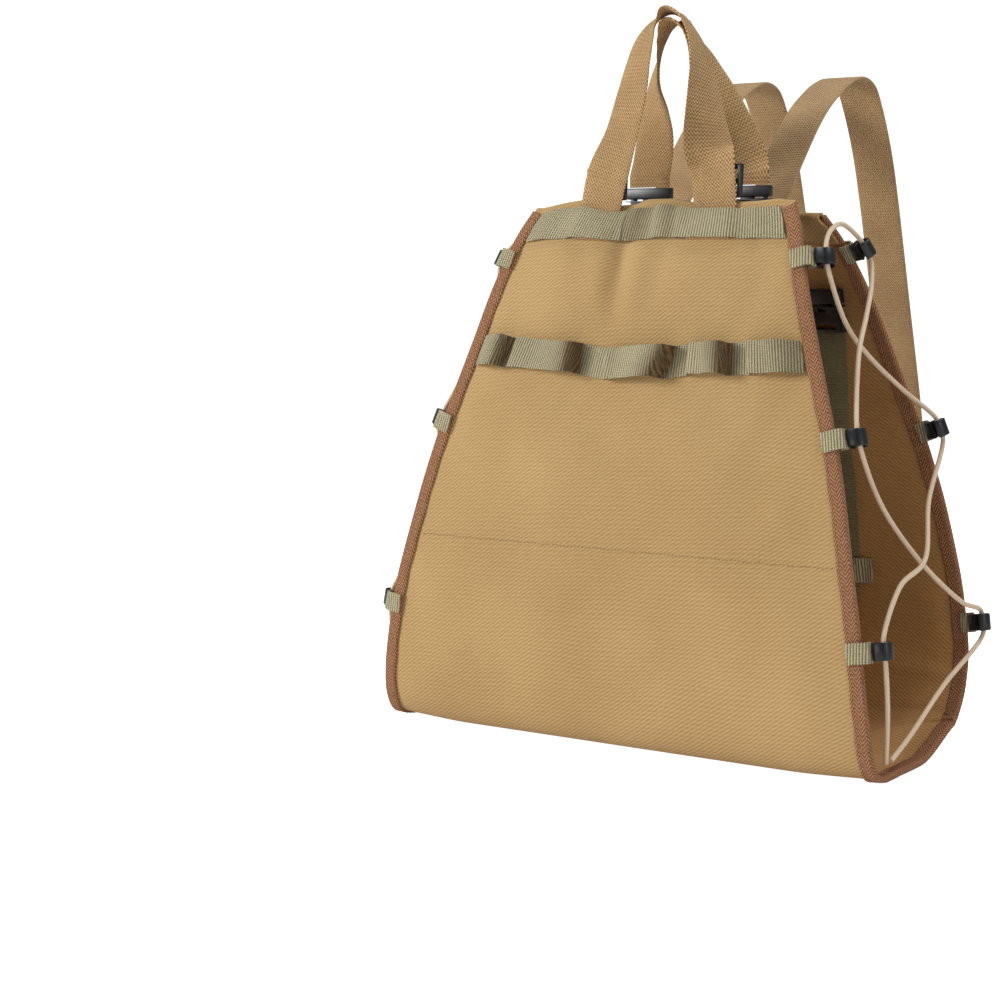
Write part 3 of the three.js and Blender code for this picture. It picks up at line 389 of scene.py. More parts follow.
mixed = add_node(tree, "ShaderNodeMath", {"operation": "SUBTRACT", 1: 0.6}, {0: mixed})
tone = add_node(tree, "ShaderNodeMix", {
    "data_type": "RGBA", 6: srgb("#9f7d4c"), 7: srgb("#cdac78")}, {0: mixed})
# The sheet's under side, the inside of the bag, is multiplied by a pale warm tint: painted shade for the dim
# interior.
under_side = add_node(tree, "ShaderNodeAttribute", {"attribute_name": "under_side"})
shade = add_node(tree, "ShaderNodeMix", {
    "data_type": "RGBA", "blend_type": "MULTIPLY", 7: srgb("#fdeadb")},
    {0: under_side.outputs["Fac"], 6: tone.outputs[2]})
tree.links.new(shade.outputs[2], shader.inputs["Base Color"])
relief = add_node(tree, "ShaderNodeMath", {"operation": "MULTIPLY_ADD", 1: 0.8}, {0: slub, 2: twill})
bump = add_node(tree, "ShaderNodeBump", {"Strength": 0.5, "Distance": 0.0002}, {"Height": relief})
tree.links.new(bump.outputs["Normal"], shader.inputs["Normal"])
shader.inputs["Roughness"].default_value = 0.88
shader.inputs["Specular IOR Level"].default_value = 0.22
shader.inputs["Sheen Weight"].default_value = 0.1
shader.inputs["Sheen Roughness"].default_value = 0.5

columns = 125
across = np.linspace(-1, 1, columns)
turned = [(down, -1.0 - 4.0 * math.exp(-((down - 1) / 9.0) ** 2), 0.0) for down in np.linspace(HEM, 1.0, 8)]
bent = [
    (0.0, HEM_RADIUS * (math.cos(math.radians(angle)) - 1), HEM_RADIUS * math.sin(math.radians(angle)))
    for angle in range(157, 10, -22)
]
run = [(d, min(r, -2 * HEM_RADIUS if d < 3 else -CLOTH - 0.5 + r * 0.4), u) for d, r, u in turned] + bent
middle = np.concatenate([
    np.linspace(0, FLOOR_START, 132), np.linspace(FLOOR_START, FLOOR_END, 30)[1:-1],
    np.linspace(FLOOR_END, SHEET_LENGTH, 132)])
stations = run + [(length, 0.0, 0.0) for length in middle]
stations += [(SHEET_LENGTH - d, r, u) for d, r, u in run[::-1]]
lengths, lifts, rises = (np.array(column)[:, None] for column in zip(*stations))
centre = sheet_point(lengths, across[None, :])
y1, z1 = profile_at(lengths + 2)
y0, z0 = profile_at(lengths - 2)
upward = unit(np.stack([np.zeros_like(y1), y1 - y0, z1 - z0], -1))
upward = upward * np.where(lengths < FLOOR_START, -1, 1)[..., None]
centre = centre + sheet_normal(lengths, across[None, :]) * lifts[..., None] + upward * rises[..., None]
outward = unit(np.cross(np.gradient(centre, axis=0), np.gradient(centre, axis=1)))
upper, lower = (centre + sign * outward * CLOTH / 2 * 0.95 for sign in (1, -1))
body = cloth_piece(
    "canvas_sheet", upper, lower, centre[..., 0], run_along(centre[:, columns // 2])[:, None], canvas)
fasten(body, ["canvas_body"])
HEM_WIDTH = 240.0
flat_area = float(np.sum(2 * half_width(profile_at(middle)[1]) * np.gradient(middle))) / 1e6
flat_area += 2 * HEM * HEM_WIDTH / 1e6
print("sheet", round(SHEET_LENGTH + 2 * HEM, 1), "mm long,", round(flat_area, 4), "m2")

# Sewing thread: waxed polyester, matt, a shade darker than the cloth it holds.
# Each stitch is a short thread lying in the cloth, with a gap to the next where the thread dives.
thread, tree, shader = cloth_material("waxed polyester sewing thread")
place = add_node(tree, "ShaderNodeTexCoord")
ply = add_node(tree, "ShaderNodeTexNoise", {"Scale": 900.0, "Detail": 2.0}, {
    "Vector": place.outputs["Object"]})
tone = add_node(tree, "ShaderNodeMix", {
    "data_type": "RGBA", 6: srgb("#7c6238"), 7: srgb("#b19258")}, {0: ply})
tree.links.new(tone.outputs[2], shader.inputs["Base Color"])
shader.inputs["Roughness"].default_value = 0.7


def face_outward():
    """Turns every face of the piece at hand outward."""
    bpy.ops.object.mode_set(mode="EDIT")
    bpy.ops.mesh.select_all(action="SELECT")
    bpy.ops.mesh.normals_make_consistent(inside=False)
    bpy.ops.object.mode_set(mode="OBJECT")


def stitch_run(name, places, normals, pitch, material, thread_width=0.75, share=0.62):
    """Stitches along a line of places in millimetres, one small closed thread each."""
    places = np.asarray(places, float)
    run = run_along(places)
    count = max(2, int(run[-1] / pitch))
    points, faces = [], []
    for k in range(count):
        at = (k + 0.5) * run[-1] / count + np.linspace(-0.5, 0.5, 5) * pitch * share
        line = np.stack([np.interp(at, run, places[:, i]) for i in range(3)], -1)
        up = unit(np.stack([np.interp(at, run, np.asarray(normals)[:, i]) for i in range(3)], -1))
        ahead = unit(line[-1] - line[0])
        across = np.cross(ahead, up)
        start = len(points)
        for i, thick in enumerate((0.15, 0.85, 1.0, 0.85, 0.15)):
            for angle in range(0, 360, 60):
                turn = math.radians(angle)
                radius = thread_width / 2 * thick
                points.append(line[i] + (across[i] * math.cos(turn) + up[i] * math.sin(turn) * 0.8) * radius)
        for i in range(4):
            for j in range(6):
                a, b = start + 6 * i + j, start + 6 * i + (j + 1) % 6
                faces.append((a, b, b + 6, a + 6))
        faces.append(tuple(start + j for j in range(5, -1, -1)))
        faces.append(tuple(start + 24 + j for j in range(6)))
    mesh = bpy.data.meshes.new(name)
    mesh.from_pydata((np.array(points) / 1000).tolist(), [], faces)
    piece = new_piece(name, mesh, material)
    face_outward()
    bpy.ops.object.shade_smooth()
    return piece


for panel in ("front", "back"):
    seam = np.linspace(-1, 1, 150) * (half_width(SEAM_HEIGHT) - 14)
    waver = 0.35 * np.sin(seam * 0.31)
    at, up = on_sheet(length_at(panel, SEAM_HEIGHT + 1.6 + waver), seam, CLOTH / 2 + 0.15)
    row = stitch_run("seam_stitches_" + panel, at, up, 3.4, thread, 0.9)
    fasten(row, [])

# The bindings: brown cotton herringbone tape folded over each long edge of the sheet and sewn through.
# Pale and dark threads make its arrow-heads.
BINDING_REACH = 10.0
BINDING_LIP = 1.7
BINDING_HALF = 2.7
BINDING_WALL = 1.1
tape, tree, shader = cloth_material("brown cotton herringbone tape")
measure = add_node(tree, "ShaderNodeUVMap", {"uv_map": "cloth"})
place = add_node(tree, "ShaderNodeTexCoord")
parts = add_node(tree, "ShaderNodeSeparateXYZ", {}, {0: measure})
folded = add_node(tree, "ShaderNodeMath", {"operation": "PINGPONG", 1: 0.0034}, {0: parts.outputs[0]})
arrow = add_node(tree, "ShaderNodeMath", {"operation": "MULTIPLY_ADD", 1: 1.25}, {
    0: folded, 2: parts.outputs[1]})
arrow_run = add_node(tree, "ShaderNodeMath", {"operation": "MULTIPLY", 1: 2 * math.pi / 0.0029}, {0: arrow})
arrow_wave = add_node(tree, "ShaderNodeMath", {"operation": "SINE"}, {0: arrow_run})
fuzz = add_node(tree, "ShaderNodeTexNoise", {"Scale": 520.0, "Detail": 2.0}, {
    "Vector": place.outputs["Object"]})
mixed = add_node(tree, "ShaderNodeMath", {"operation": "MULTIPLY_ADD", 1: 0.42, 2: 0.1}, {0: arrow_wave})
mixed = add_node(tree, "ShaderNodeMath", {"operation": "MULTIPLY_ADD", 1: 0.8}, {0: fuzz, 2: mixed})
tone = add_node(tree, "ShaderNodeMix", {
    "data_type": "RGBA", 6: srgb("#744a30"), 7: srgb("#c08c67")}, {0: mixed})
tree.links.new(tone.outputs[2], shader.inputs["Base Color"])
bump = add_node(tree, "ShaderNodeBump", {"Strength": 0.8, "Distance": 0.0004}, {"Height": arrow_wave})
tree.links.new(bump.outputs["Normal"], shader.inputs["Normal"])
shader.inputs["Roughness"].default_value = 0.8
shader.inputs["Specular IOR Level"].default_value = 0.25


def edge_frame(length, side):
    """The sheet's edge: its point, the way out of the cloth in its plane, its normal and its run."""
    length = np.asarray(length, float)
    point = sheet_point(length, side)
    inner = sheet_point(length, side * (1 - 1 / 6))
    after, before = np.minimum(length + 2, SHEET_LENGTH), np.maximum(length - 2, 0)
    along = unit(sheet_point(after, side) - sheet_point(before, side))
    out = point - inner
    out = unit(out - along * np.sum(out * along, -1, keepdims=True))
    normal = unit(np.cross(along, out) * side)
    return point, out, normal, along


def half_round(reach, lip, half, wall):
    """Outer and inner line of a tape folded over an edge, from one border round the fold to the other."""
    outer = [(-reach, half - 0.5), (-reach + 0.7, half - 0.05)]
    outer += [(-reach + 0.7 + (reach - 1.6) * t, half) for t in (0.25, 0.5, 0.75, 1.0)]
    for angle in np.radians([15, 35, 55, 75]):
        outer.append((lip - half + half * math.sin(angle), half * math.cos(angle)))
    inner = [(min(a, lip - wall), max(b - wall, 0.35)) for a, b in outer]
    return [np.array(line + [(a, -b) for a, b in line[::-1]]) for line in (outer, inner)]


for word, side in (("left", -1), ("right", 1)):
    lengths = np.linspace(1.5, SHEET_LENGTH - 1.5, 420)
    point, out, normal, along = edge_frame(lengths, side)
    outer, inner = half_round(BINDING_REACH, BINDING_LIP, BINDING_HALF, BINDING_WALL)
    ripple = 1 + 0.03 * np.sin(lengths * 0.21 + side)[:, None]
    grids = []
    for line in (outer, inner):
        reach = line[None, :, 0] * np.where(line[None, :, 0] < 0, ripple, 1)
        grids.append(point[:, None] + out[:, None] * reach[..., None] + normal[:, None] * line[None, :, 1:])
    girth = run_along(outer)[None, :]
    binding = cloth_piece("herringbone_tape_" + word, *grids, girth, lengths[:, None], tape)
    fasten(binding, ["edge_binding_" + word])
    for face, lift in (("outside", 1), ("inside", -1)):
        at = point - out * (BINDING_REACH - 1.8) + normal * lift * (BINDING_HALF + 0.1)
        row = stitch_run(f"tape_stitches_{face}_{word}", at, normal * lift, 4.2, thread, 0.7)
        fasten(row, [])

# The two strips across the front: khaki ribbed webbing, the upper sewn flat over the handle's feet.
# The lower one is tacked down in a few places, so that it stands off in loops for tools.
STRIP_WIDTH = 24.0
STRIP_THICK = 1.5
TOP_STRIP_HEIGHT = 0.955
LOOP_STRIP_HEIGHT = 0.712
LEG_SPREAD = 52.5
HANDLE_WIDTH = 38.0
HANDLE_THICK = 2.0
LOOP_LINE = [  # place across, lift off the sheet, drop below a straight line, lean, and painted shade in the fold
    (-1.0, 0, -3.5, 0, 0), (-0.96, 5, -3, 0, 0), (-0.88, 11, -2.5, 0, 0), (-0.825, 12, -2.5, 0, 0.4),
    (-0.8, 0, -2, 3, 0.9), (-0.77, 0.5, -2, 0, 0.2), (-0.755, 4, -2, 0, 0), (-0.6, 4, -1, 0, 0),
    (-0.5, 8, 0, 0, 0.1), (-0.4, 14, 1, 0, 0.3), (-0.352, 14, 1, 0, 0.7), (-0.325, 0, 1, -3, 1),
    (-0.29, 0, 2, 0, 0.3), (-0.2, 0, 4, 0, 0), (-0.152, 1, 4.6, 0, 0), (-0.138, 6, 4.8, 0, 0),
    (-0.09, 6, 4.8, 2, 0.1), (0.02, 10, 4, 4, 0), (0.14, 15, 3.2, 12, 0.3), (0.21, 14, 3, 14, 0.8),
    (0.24, 0, 2.6, 14, 1), (0.28, 0, 1.6, 8, 0.3), (0.35, 0, 0, 4, 0), (0.365, 6, -0.3, 2, 0),
    (0.43, 7, -0.8, 0, 0.1), (0.51, 13, -1, 0, 0.3), (0.565, 13, -1, 3, 0.8), (0.59, 0, -1.3, 3, 1),
    (0.64, 0, -2, 0, 0.2), (0.694, 0.5, -2, 0, 0), (0.71, 6, -2.4, 0, 0), (0.79, 7, -3, 0, 0.1),
    (0.87, 10, -4, 0, 0.2), (0.94, 7, -4.3, 0, 0.3), (1.0, 0, -4.5, 0, 0.2),
]
TOP_LINE = [  # the same for the upper strip, which only puckers between the handle's feet
    (-1.0, 0, 0, 0, 0), (-0.86, 1.5, -0.5, 0, 0), (-0.74, 0, 0, 0, 0), (-0.3, 0, 0.5, 0, 0.1),
    (-0.24, 2.5, 1, 2, 0.25), (-0.16, 3, 1.5, 4, 0.35), (-0.1, 0, 1.6, 4, 0.5), (0.0, 0.5, 1, 0, 0.1),
    (0.05, 3, 0.5, -2, 0), (0.14, 2.5, 0, -2, 0.3), (0.2, 0, 0, 0, 0.1), (0.7, 0, 0, 0, 0),
    (0.78, 1.5, 0, 2, 0), (0.88, 0, 0, 2, 0.1), (1.0, 0, 0, 0, 0),
]


def webbing_material(name, dark, light, rib, thread_gap, rib_share, thread_share, lean=0.0, rough=0.85):
    """Woven webbing: ribs run across it, warp threads along it, and the two together make its grain."""
    ribs, threads = (2 * math.pi / gap * 1000 for gap in (rib, thread_gap))
    material, tree, shader = cloth_material(name)
    measure = add_node(tree, "ShaderNodeUVMap", {"uv_map": "cloth"})
    place = add_node(tree, "ShaderNodeTexCoord")
    waves = []
    for slope in ((lean * ribs, ribs, 0), (threads, -lean * threads, 0)):
        run = add_node(tree, "ShaderNodeVectorMath", {"operation": "DOT_PRODUCT", 1: slope}, {0: measure})
        waves.append(add_node(tree, "ShaderNodeMath", {"operation": "SINE"}, {0: run.outputs["Value"]}))
    rib_wave, thread_wave = waves
    crossing = add_node(tree, "ShaderNodeMath", {"operation": "MULTIPLY"}, {0: rib_wave, 1: thread_wave})
    fuzz, wear = (add_node(tree, "ShaderNodeTexNoise", {"Scale": scale, "Detail": detail}, {
        "Vector": place.outputs["Object"]}) for scale, detail in ((500.0, 3.0), (22.0, 2.0)))
    mixed = add_node(tree, "ShaderNodeMath", {"operation": "MULTIPLY", 1: rib_share}, {0: rib_wave})
    for share, source in ((thread_share, crossing), (0.5, fuzz), (0.5, wear)):
        mixed = add_node(tree, "ShaderNodeMath", {"operation": "MULTIPLY_ADD", 1: share}, {
            0: source, 2: mixed})
    tone = add_node(tree, "ShaderNodeMix", {"data_type": "RGBA", 6: srgb(dark), 7: srgb(light)}, {0: mixed})
    # Where a strip's fold table asks for it, the webbing is darkened towards #94795a: painted shade in its
    # deep folds.
    painted_crease_shade = add_node(tree, "ShaderNodeAttribute", {"attribute_name": "painted_crease_shade"})
    painted_shade_mix = add_node(tree, "ShaderNodeMix", {
        "data_type": "RGBA", "blend_type": "MULTIPLY", 7: srgb("#94795a")},
        {0: painted_crease_shade.outputs["Fac"], 6: tone.outputs[2]})
    tree.links.new(painted_shade_mix.outputs[2], shader.inputs["Base Color"])
    height = add_node(tree, "ShaderNodeMath", {"operation": "MULTIPLY_ADD", 1: 0.8}, {
        0: crossing, 2: rib_wave})
    bump = add_node(tree, "ShaderNodeBump", {"Strength": 0.8, "Distance": 0.00035}, {"Height": height})
    tree.links.new(bump.outputs["Normal"], shader.inputs["Normal"])
    shader.inputs["Roughness"].default_value = rough
    shader.inputs["Specular IOR Level"].default_value = 0.3
    shader.inputs["Sheen Weight"].default_value = 0.08
    return material


# Khaki polyester webbing with a rib every 2.3 mm across, slightly silky.
khaki = webbing_material(
    "ribbed polyester webbing, khaki", "#6c6247", "#cfc49e", 2.3, 1.9, 0.44, 0.16, 0.12, 0.62)


def strip_piece(name, places, normals, across, along, thick, material):
    """Webbing over a grid of places and normals in millimetres, thinner at its two woven borders."""
    columns = places.shape[1]
    from_border = np.minimum(np.arange(columns), np.arange(columns)[::-1])
    share = np.where(from_border == 0, 0.45, np.where(from_border == 1, 0.85, 1.0))[None, :, None]
    half = normals * thick / 2 * share
    return cloth_piece(name, places + half, places - half, across, along, material)


STRIP_LIFT = CLOTH / 2 + CLEARANCE + 0.8
ACROSS_STRIP = np.array([-0.5, -0.46, -0.25, 0, 0.25, 0.46, 0.5])[None, :]  # shares of its width


def cross_strip(name, height_share, count, shape):
    """Webbing across the front panel at a height; the shape gives its lift, drop and painted shade in its
    folds.
    """
    middle_at = length_at("front", height_share * BAG_HEIGHT)
    across = np.linspace(-1, 1, count)[:, None] + 0 * ACROSS_STRIP
    lift, drop, painted_crease_shade = shape(across * half_width(height_share * BAG_HEIGHT))
    lengths = middle_at + drop + ACROSS_STRIP * STRIP_WIDTH
    x = across * (half_width(profile_at(lengths)[1]) - BINDING_REACH - 2.2)
    places, normals = on_sheet(lengths, x, lift)
    run = run_along(places[:, 3])[:, None]
    piece = strip_piece(name, places, normals, ACROSS_STRIP * STRIP_WIDTH, run, STRIP_THICK, khaki)
    # The painted shade of the folds is stored on both faces of the piece as a point attribute.
    painted_shade_layer = piece.data.attributes.new("painted_crease_shade", "FLOAT", "POINT")
    painted_shade_layer.data.foreach_set("value", np.tile(painted_crease_shade.ravel(), 2))
    return piece


def puckered(rows, x, half):
    """Lift, drop and painted fold shade of a strip from its table of folds."""
    line = smooth_path([(place * half, *rest) for place, *rest in rows], 600)
    folded = x + np.interp(x, line[:, 0], line[:, 3]) * ACROSS_STRIP
    lift, painted_crease_shade = (np.interp(folded, line[:, 0], line[:, k]).clip(0) for k in (1, 4))
    return lift, np.interp(x, line[:, 0], line[:, 2]), painted_crease_shade


def over_legs(x):
    beside = np.abs(np.abs(x) - LEG_SPREAD) - HANDLE_WIDTH / 2
    lift, drop, painted_crease_shade = puckered(TOP_LINE, x, half_width(TOP_STRIP_HEIGHT * BAG_HEIGHT))
    return STRIP_LIFT + (HANDLE_THICK + 2 * CLEARANCE) * (1 - ease(beside, 3, 16)) + lift, drop, painted_crease_shade


def in_loops(x):
    lift, drop, painted_crease_shade = puckered(LOOP_LINE, x, half_width(LOOP_STRIP_HEIGHT * BAG_HEIGHT))
    return STRIP_LIFT + lift, drop, painted_crease_shade


top_strip = cross_strip("top_strip_webbing", TOP_STRIP_HEIGHT, 200, over_legs)
fasten(top_strip, ["top_strip"])
loop_strip = cross_strip("loop_strip_webbing", LOOP_STRIP_HEIGHT, 420, in_loops)
fasten(loop_strip, ["loop_strip"])

# The hand handles: heavy tan cotton webbing with a honeycomb grain, stiff enough to stand up by itself.
# The front one is sewn under the top strip, the rear one ends in two buckles between the panels.
HANDLE_RISE = 150.0
FRONT_HANDLE = [  # share of the legs' spread, of the depth and of the rise, turn of the web
    (-0.943, -0.162, 0.1, 0), (-0.867, -0.157, 0.19, 0), (-0.724, -0.133, 0.358, 13),
    (-0.606, -0.096, 0.593, 20), (-0.562, -0.077, 0.72, 27), (-0.476, -0.059, 0.85, 34),
    (-0.305, -0.045, 0.945, 46), (-0.057, -0.037, 0.99, 58), (0.181, -0.043, 0.955, 66),
    (0.39, -0.051, 0.86, 74), (0.533, -0.064, 0.735, 83), (0.619, -0.082, 0.6, 95),
    (0.714, -0.112, 0.43, 113), (0.819, -0.141, 0.28, 145), (0.924, -0.157, 0.19, 176),
    (0.962, -0.162, 0.1, 180),
]
REAR_HANDLE = [
    (-0.819, 0.128, 0.15, 0), (-0.781, 0.136, 0.24, 3), (-0.724, 0.133, 0.36, 8), (-0.686, 0.122, 0.5, 25),
    (-0.638, 0.101, 0.62, 42), (-0.524, 0.072, 0.73, 54), (-0.39, 0.043, 0.83, 61),
    (-0.238, 0.019, 0.9, 64), (-0.048, 0.0, 0.938, 66), (0.124, -0.003, 0.908, 70),
    (0.248, 0.016, 0.83, 80), (0.362, 0.051, 0.69, 102), (0.486, 0.085, 0.55, 122),
    (0.61, 0.112, 0.42, 145), (0.733, 0.133, 0.31, 160), (0.857, 0.141, 0.22, 172),
    (0.93, 0.128, 0.15, 180),
]
tan_web = webbing_material("heavy cotton webbing, tan", "#775530", "#dcb680", 3.0, 2.8, 0.06, 0.48, 0.0, 0.85)


def ribbon(name, points, widths, web_width, thick, material, columns=9):
    """Webbing along points in millimetres, with the direction of its width at each."""
    points = np.asarray(points, float)
    along = unit(np.gradient(points, axis=0))
    widths = np.asarray(widths, float)
    widths = unit(widths - along * np.sum(widths * along, -1, keepdims=True))
    normals = np.cross(widths, along)
    shares = np.linspace(-0.5, 0.5, columns)
    shares = np.concatenate([[-0.5, -0.475], shares[1:-1], [0.475, 0.5]]) * web_width
    places = points[:, None] + widths[:, None] * shares[None, :, None]
    normals = np.broadcast_to(normals[:, None], places.shape)
    return strip_piece(name, places, normals, shares[None, :], run_along(points)[:, None], thick, material)


def handle_point(row):
    return row[0] * LEG_SPREAD, row[1] * BAG_DEPTH, BAG_HEIGHT + row[2] * HANDLE_RISE


def handle_line(rows, before, after):
    """Points and width directions of a handle: its foot before the table's rows, the rows, its other foot."""
    given = np.array([handle_point(row) for row in rows])
    turns = np.radians([turn for x, y, rise, turn in rows])
    widths = np.stack([np.cos(turns), -np.sin(turns), 0 * turns], -1)
    points = np.concatenate([before, given, after])
    flat_feet = [np.tile([sign, 0.0, 0.0], (len(foot), 1)) for sign, foot in ((1.0, before), (-1.0, after))]
    widths = np.concatenate([flat_feet[0], widths, flat_feet[1]])
    both = smooth_path(np.concatenate([points, widths * 40], axis=1), 150)
    return both[:, :3], both[:, 3:]


strip_end = length_at("front", TOP_STRIP_HEIGHT * BAG_HEIGHT) + STRIP_WIDTH / 2
feet = {}
for side in (-1, 1):
    lengths = np.array([strip_end, 2 * strip_end / 3, strip_end / 3, 1.0])
    lift = CLOTH / 2 + CLEARANCE + HANDLE_THICK / 2
    feet[side], _ = on_sheet(lengths, np.full(4, side * LEG_SPREAD), np.full(4, lift))
points, widths = handle_line(FRONT_HANDLE, feet[-1], feet[1][::-1])
front_handle = ribbon("front_handle_webbing", points, widths, HANDLE_WIDTH, HANDLE_THICK, tan_web)
fasten(front_handle, ["front_handle"])
FOOT_DROP = 8.0
ends = np.array([handle_point(REAR_HANDLE[0]), handle_point(REAR_HANDLE[-1])])
before = [ends[0] - (0, 0, down) for down in (FOOT_DROP, 0.5)]
after = [ends[1] - (0, 0, down) for down in (0.5, FOOT_DROP)]
points, widths = handle_line(REAR_HANDLE, before, after)
rear_handle = ribbon("rear_handle_webbing", points, widths, HANDLE_WIDTH, HANDLE_THICK, tan_web)
fasten(rear_handle, ["rear_handle"])

# Buckles and frames: black acetal, injection moulded, satin with a bluish shine on its rounded corners.
# A buckle has a socket with open sides and a bar for the web, and a plug with two prongs that go into it.
acetal, tree, shader = cloth_material("moulded black acetal")
place = add_node(tree, "ShaderNodeTexCoord")
grain, scuff = (add_node(tree, "ShaderNodeTexNoise", {"Scale": scale, "Detail": detail}, {
    "Vector": place.outputs["Object"]}) for scale, detail in ((1400.0, 2.0), (120.0, 4.0)))
tone = add_node(tree, "ShaderNodeMix", {
    "data_type": "RGBA", 6: srgb("#101114"), 7: srgb("#1f2126")}, {0: scuff})
tree.links.new(tone.outputs[2], shader.inputs["Base Color"])
matt = add_node(tree, "ShaderNodeMapRange", {3: 0.26, 4: 0.46}, {0: scuff})
tree.links.new(matt.outputs[0], shader.inputs["Roughness"])
bump = add_node(tree, "ShaderNodeBump", {"Strength": 0.15, "Distance": 0.0001}, {"Height": grain})
tree.links.new(bump.outputs["Normal"], shader.inputs["Normal"])
shader.inputs["Specular IOR Level"].default_value = 0.6


def block(name, size, centre):
    """A box of the given size, in millimetres, as a start for a moulded piece."""
    bpy.ops.object.select_all(action="DESELECT")
    bpy.ops.mesh.primitive_cube_add(size=1.0, location=Vector(centre) / 1000, scale=Vector(size) / 1000)
    piece = bpy.context.object
    piece.name = name
    bpy.ops.object.transform_apply(location=True, rotation=True, scale=True)
    return piece


def round_off(piece, radius, segments=3, angle=30):
    """Rounds the moulded piece's corners, as its mould does."""
    pick(piece)
    bevel = piece.modifiers.new("corners", "BEVEL")
    bevel.width = radius / 1000
    bevel.segments = segments
    bevel.limit_method = "ANGLE"
    bevel.angle_limit = math.radians(angle)
    bpy.ops.object.modifier_apply(modifier="corners")
    bpy.ops.object.shade_smooth_by_angle(angle=math.radians(35))
    return piece


def cut_away(piece, cutter):
    """Takes the cutter's shape out of the piece, and the cutter away."""
    pick(piece)
    cut = piece.modifiers.new("cut", "BOOLEAN")
    cut.operation = "DIFFERENCE"
    cut.solver = "EXACT"
    cut.object = cutter
    bpy.ops.object.modifier_apply(modifier="cut")
    bpy.data.objects.remove(cutter, do_unlink=True)


def join(pieces, name):
    """Makes one moulded piece of several."""
    bpy.ops.object.select_all(action="DESELECT")
    for piece in pieces:
        piece.select_set(True)
    bpy.context.view_layer.objects.active = pieces[0]
    bpy.ops.object.join()
    pieces[0].name = name
    return pieces[0]


def placed_copy(pattern, name, centre, across, along, normal):
    """A copy with its own mesh, moved to its place by its three directions."""
    mesh = pattern.data.copy()
    mesh.name = name
    turn = Matrix((across, along, normal)).transposed().to_4x4()
    turn.translation = Vector(centre) / 1000
    mesh.transform(turn)
    mesh.materials.clear()
    mesh.materials.append(acetal)
    piece = bpy.data.objects.new(name, mesh)
    bpy.context.collection.objects.link(piece)
    return piece


def side_release_buckle(name, width, height, thick):
    """X runs across the web, Y along it and Z through it."""
    socket = block(name, (width, height * 0.62, thick), (0, -height * 0.19, 0))
    for side in (-1, 1):
        window = (width * 0.16, height * 0.22, thick * 2)
        cut_away(socket, block("cut", window, (side * width * 0.47, -height * 0.02, 0)))
    cut_away(socket, block("cut", (width * 0.66, height * 0.11, thick * 2), (0, -height * 0.37, 0)))
    cut_away(socket, block("cut", (width * 0.24, height * 0.1, thick), (0, height * 0.02, thick * 0.55)))
    round_off(socket, thick * 0.16)
    plug = block("plug", (width, height * 0.33, thick * 0.9), (0, height * 0.335, 0))
    round_off(plug, thick * 0.14)
    prong = (width * 0.12, height * 0.2, thick * 0.5)
    prongs = [block("prong", prong, (side * width * 0.36, height * 0.14, 0)) for side in (-1, 1)]
    tongue = block("tongue", (width * 0.3, height * 0.14, thick * 0.34), (0, height * 0.15, 0))
    for piece in (*prongs, tongue):
        round_off(piece, thick * 0.1, 2)
    return join([socket, plug, *prongs, tongue], name)


def ladder_frame(name, width, height, thick, rail, bar):
    """A flat frame with a bar across its middle."""
    plate = block(name, (width, height, thick), (0, 0, 0))
    gap = (height - 2 * rail - bar) / 2
    for side in (-1, 1):
        cut_away(plate, block("cut", (width - 2 * rail, gap, thick * 3), (0, side * (bar + gap) / 2, 0)))
    return round_off(plate, thick * 0.22)


HANDLE_BUCKLE = (42, 27, 7)
HANDLE_FRAME = (38, 26, 3)
FRAME_ASIDE = 2.5
FRAME_BEHIND = 3.2
FRAME_UP = 2.2
right = Vector((1, 0, 0))
handle_buckle = side_release_buckle("handle_buckle", *HANDLE_BUCKLE)
handle_frame = ladder_frame("handle_frame", *HANDLE_FRAME, 4, 4)
for word, side, end in (("left", -1, ends[0]), ("right", 1, ends[1])):
    centre = end - (0, 0, FOOT_DROP + CLEARANCE + HANDLE_BUCKLE[1] / 2)
    piece = placed_copy(handle_buckle, "handle_side_buckle_" + word, centre, right, (0, 0, 1), (0, -1, 0))
    fasten(piece, ["handle_buckle_" + word])
    lean = Vector((0, 0.1, 1)).normalized()
    centre = (
        side * LEG_SPREAD + FRAME_ASIDE, FRONT_HANDLE[0][1] * BAG_DEPTH + FRAME_BEHIND,
        BAG_HEIGHT + FRAME_UP + HANDLE_FRAME[1] / 2)
    piece = placed_copy(handle_frame, "handle_frame_" + word, centre, right, lean, right.cross(lean))
    fasten(piece, ["handle_plate_" + word])

# The shoulder straps: tan webbing, sewn to the back panel's top, arching out behind and down.
# Each ends in a ladder adjuster, and a thinner khaki strap leads from there back to the foot of the panel.
STRAP_SPREAD = 47.0
SHOULDER_ROUTE = [  # share of the depth, share of the height
    (0.35, 1.024), (0.46, 1.088), (0.58, 1.151), (0.686, 1.194), (0.79, 1.225), (0.904, 1.252), (1.03, 1.266),
    (1.13, 1.252), (1.2, 1.212), (1.3, 1.122), (1.375, 1.02), (1.44, 0.914), (1.51, 0.796), (1.59, 0.665),
    (1.65, 0.56), (1.675, 0.49), (1.665, 0.43),
]
LOWER_ROUTE = [
    (1.63, 0.352), (1.575, 0.275), (1.45, 0.205), (1.25, 0.155), (0.98, 0.14), (0.74, 0.165), (0.585, 0.215),
    (0.508, 0.262),
]
TAIL_ROUTE = [(1.671, 0.4), (1.677, 0.355), (1.7, 0.3), (1.715, 0.24), (1.715, 0.17)]
LOWER_WIDTH = 25.0
LOWER_THICK = 1.6
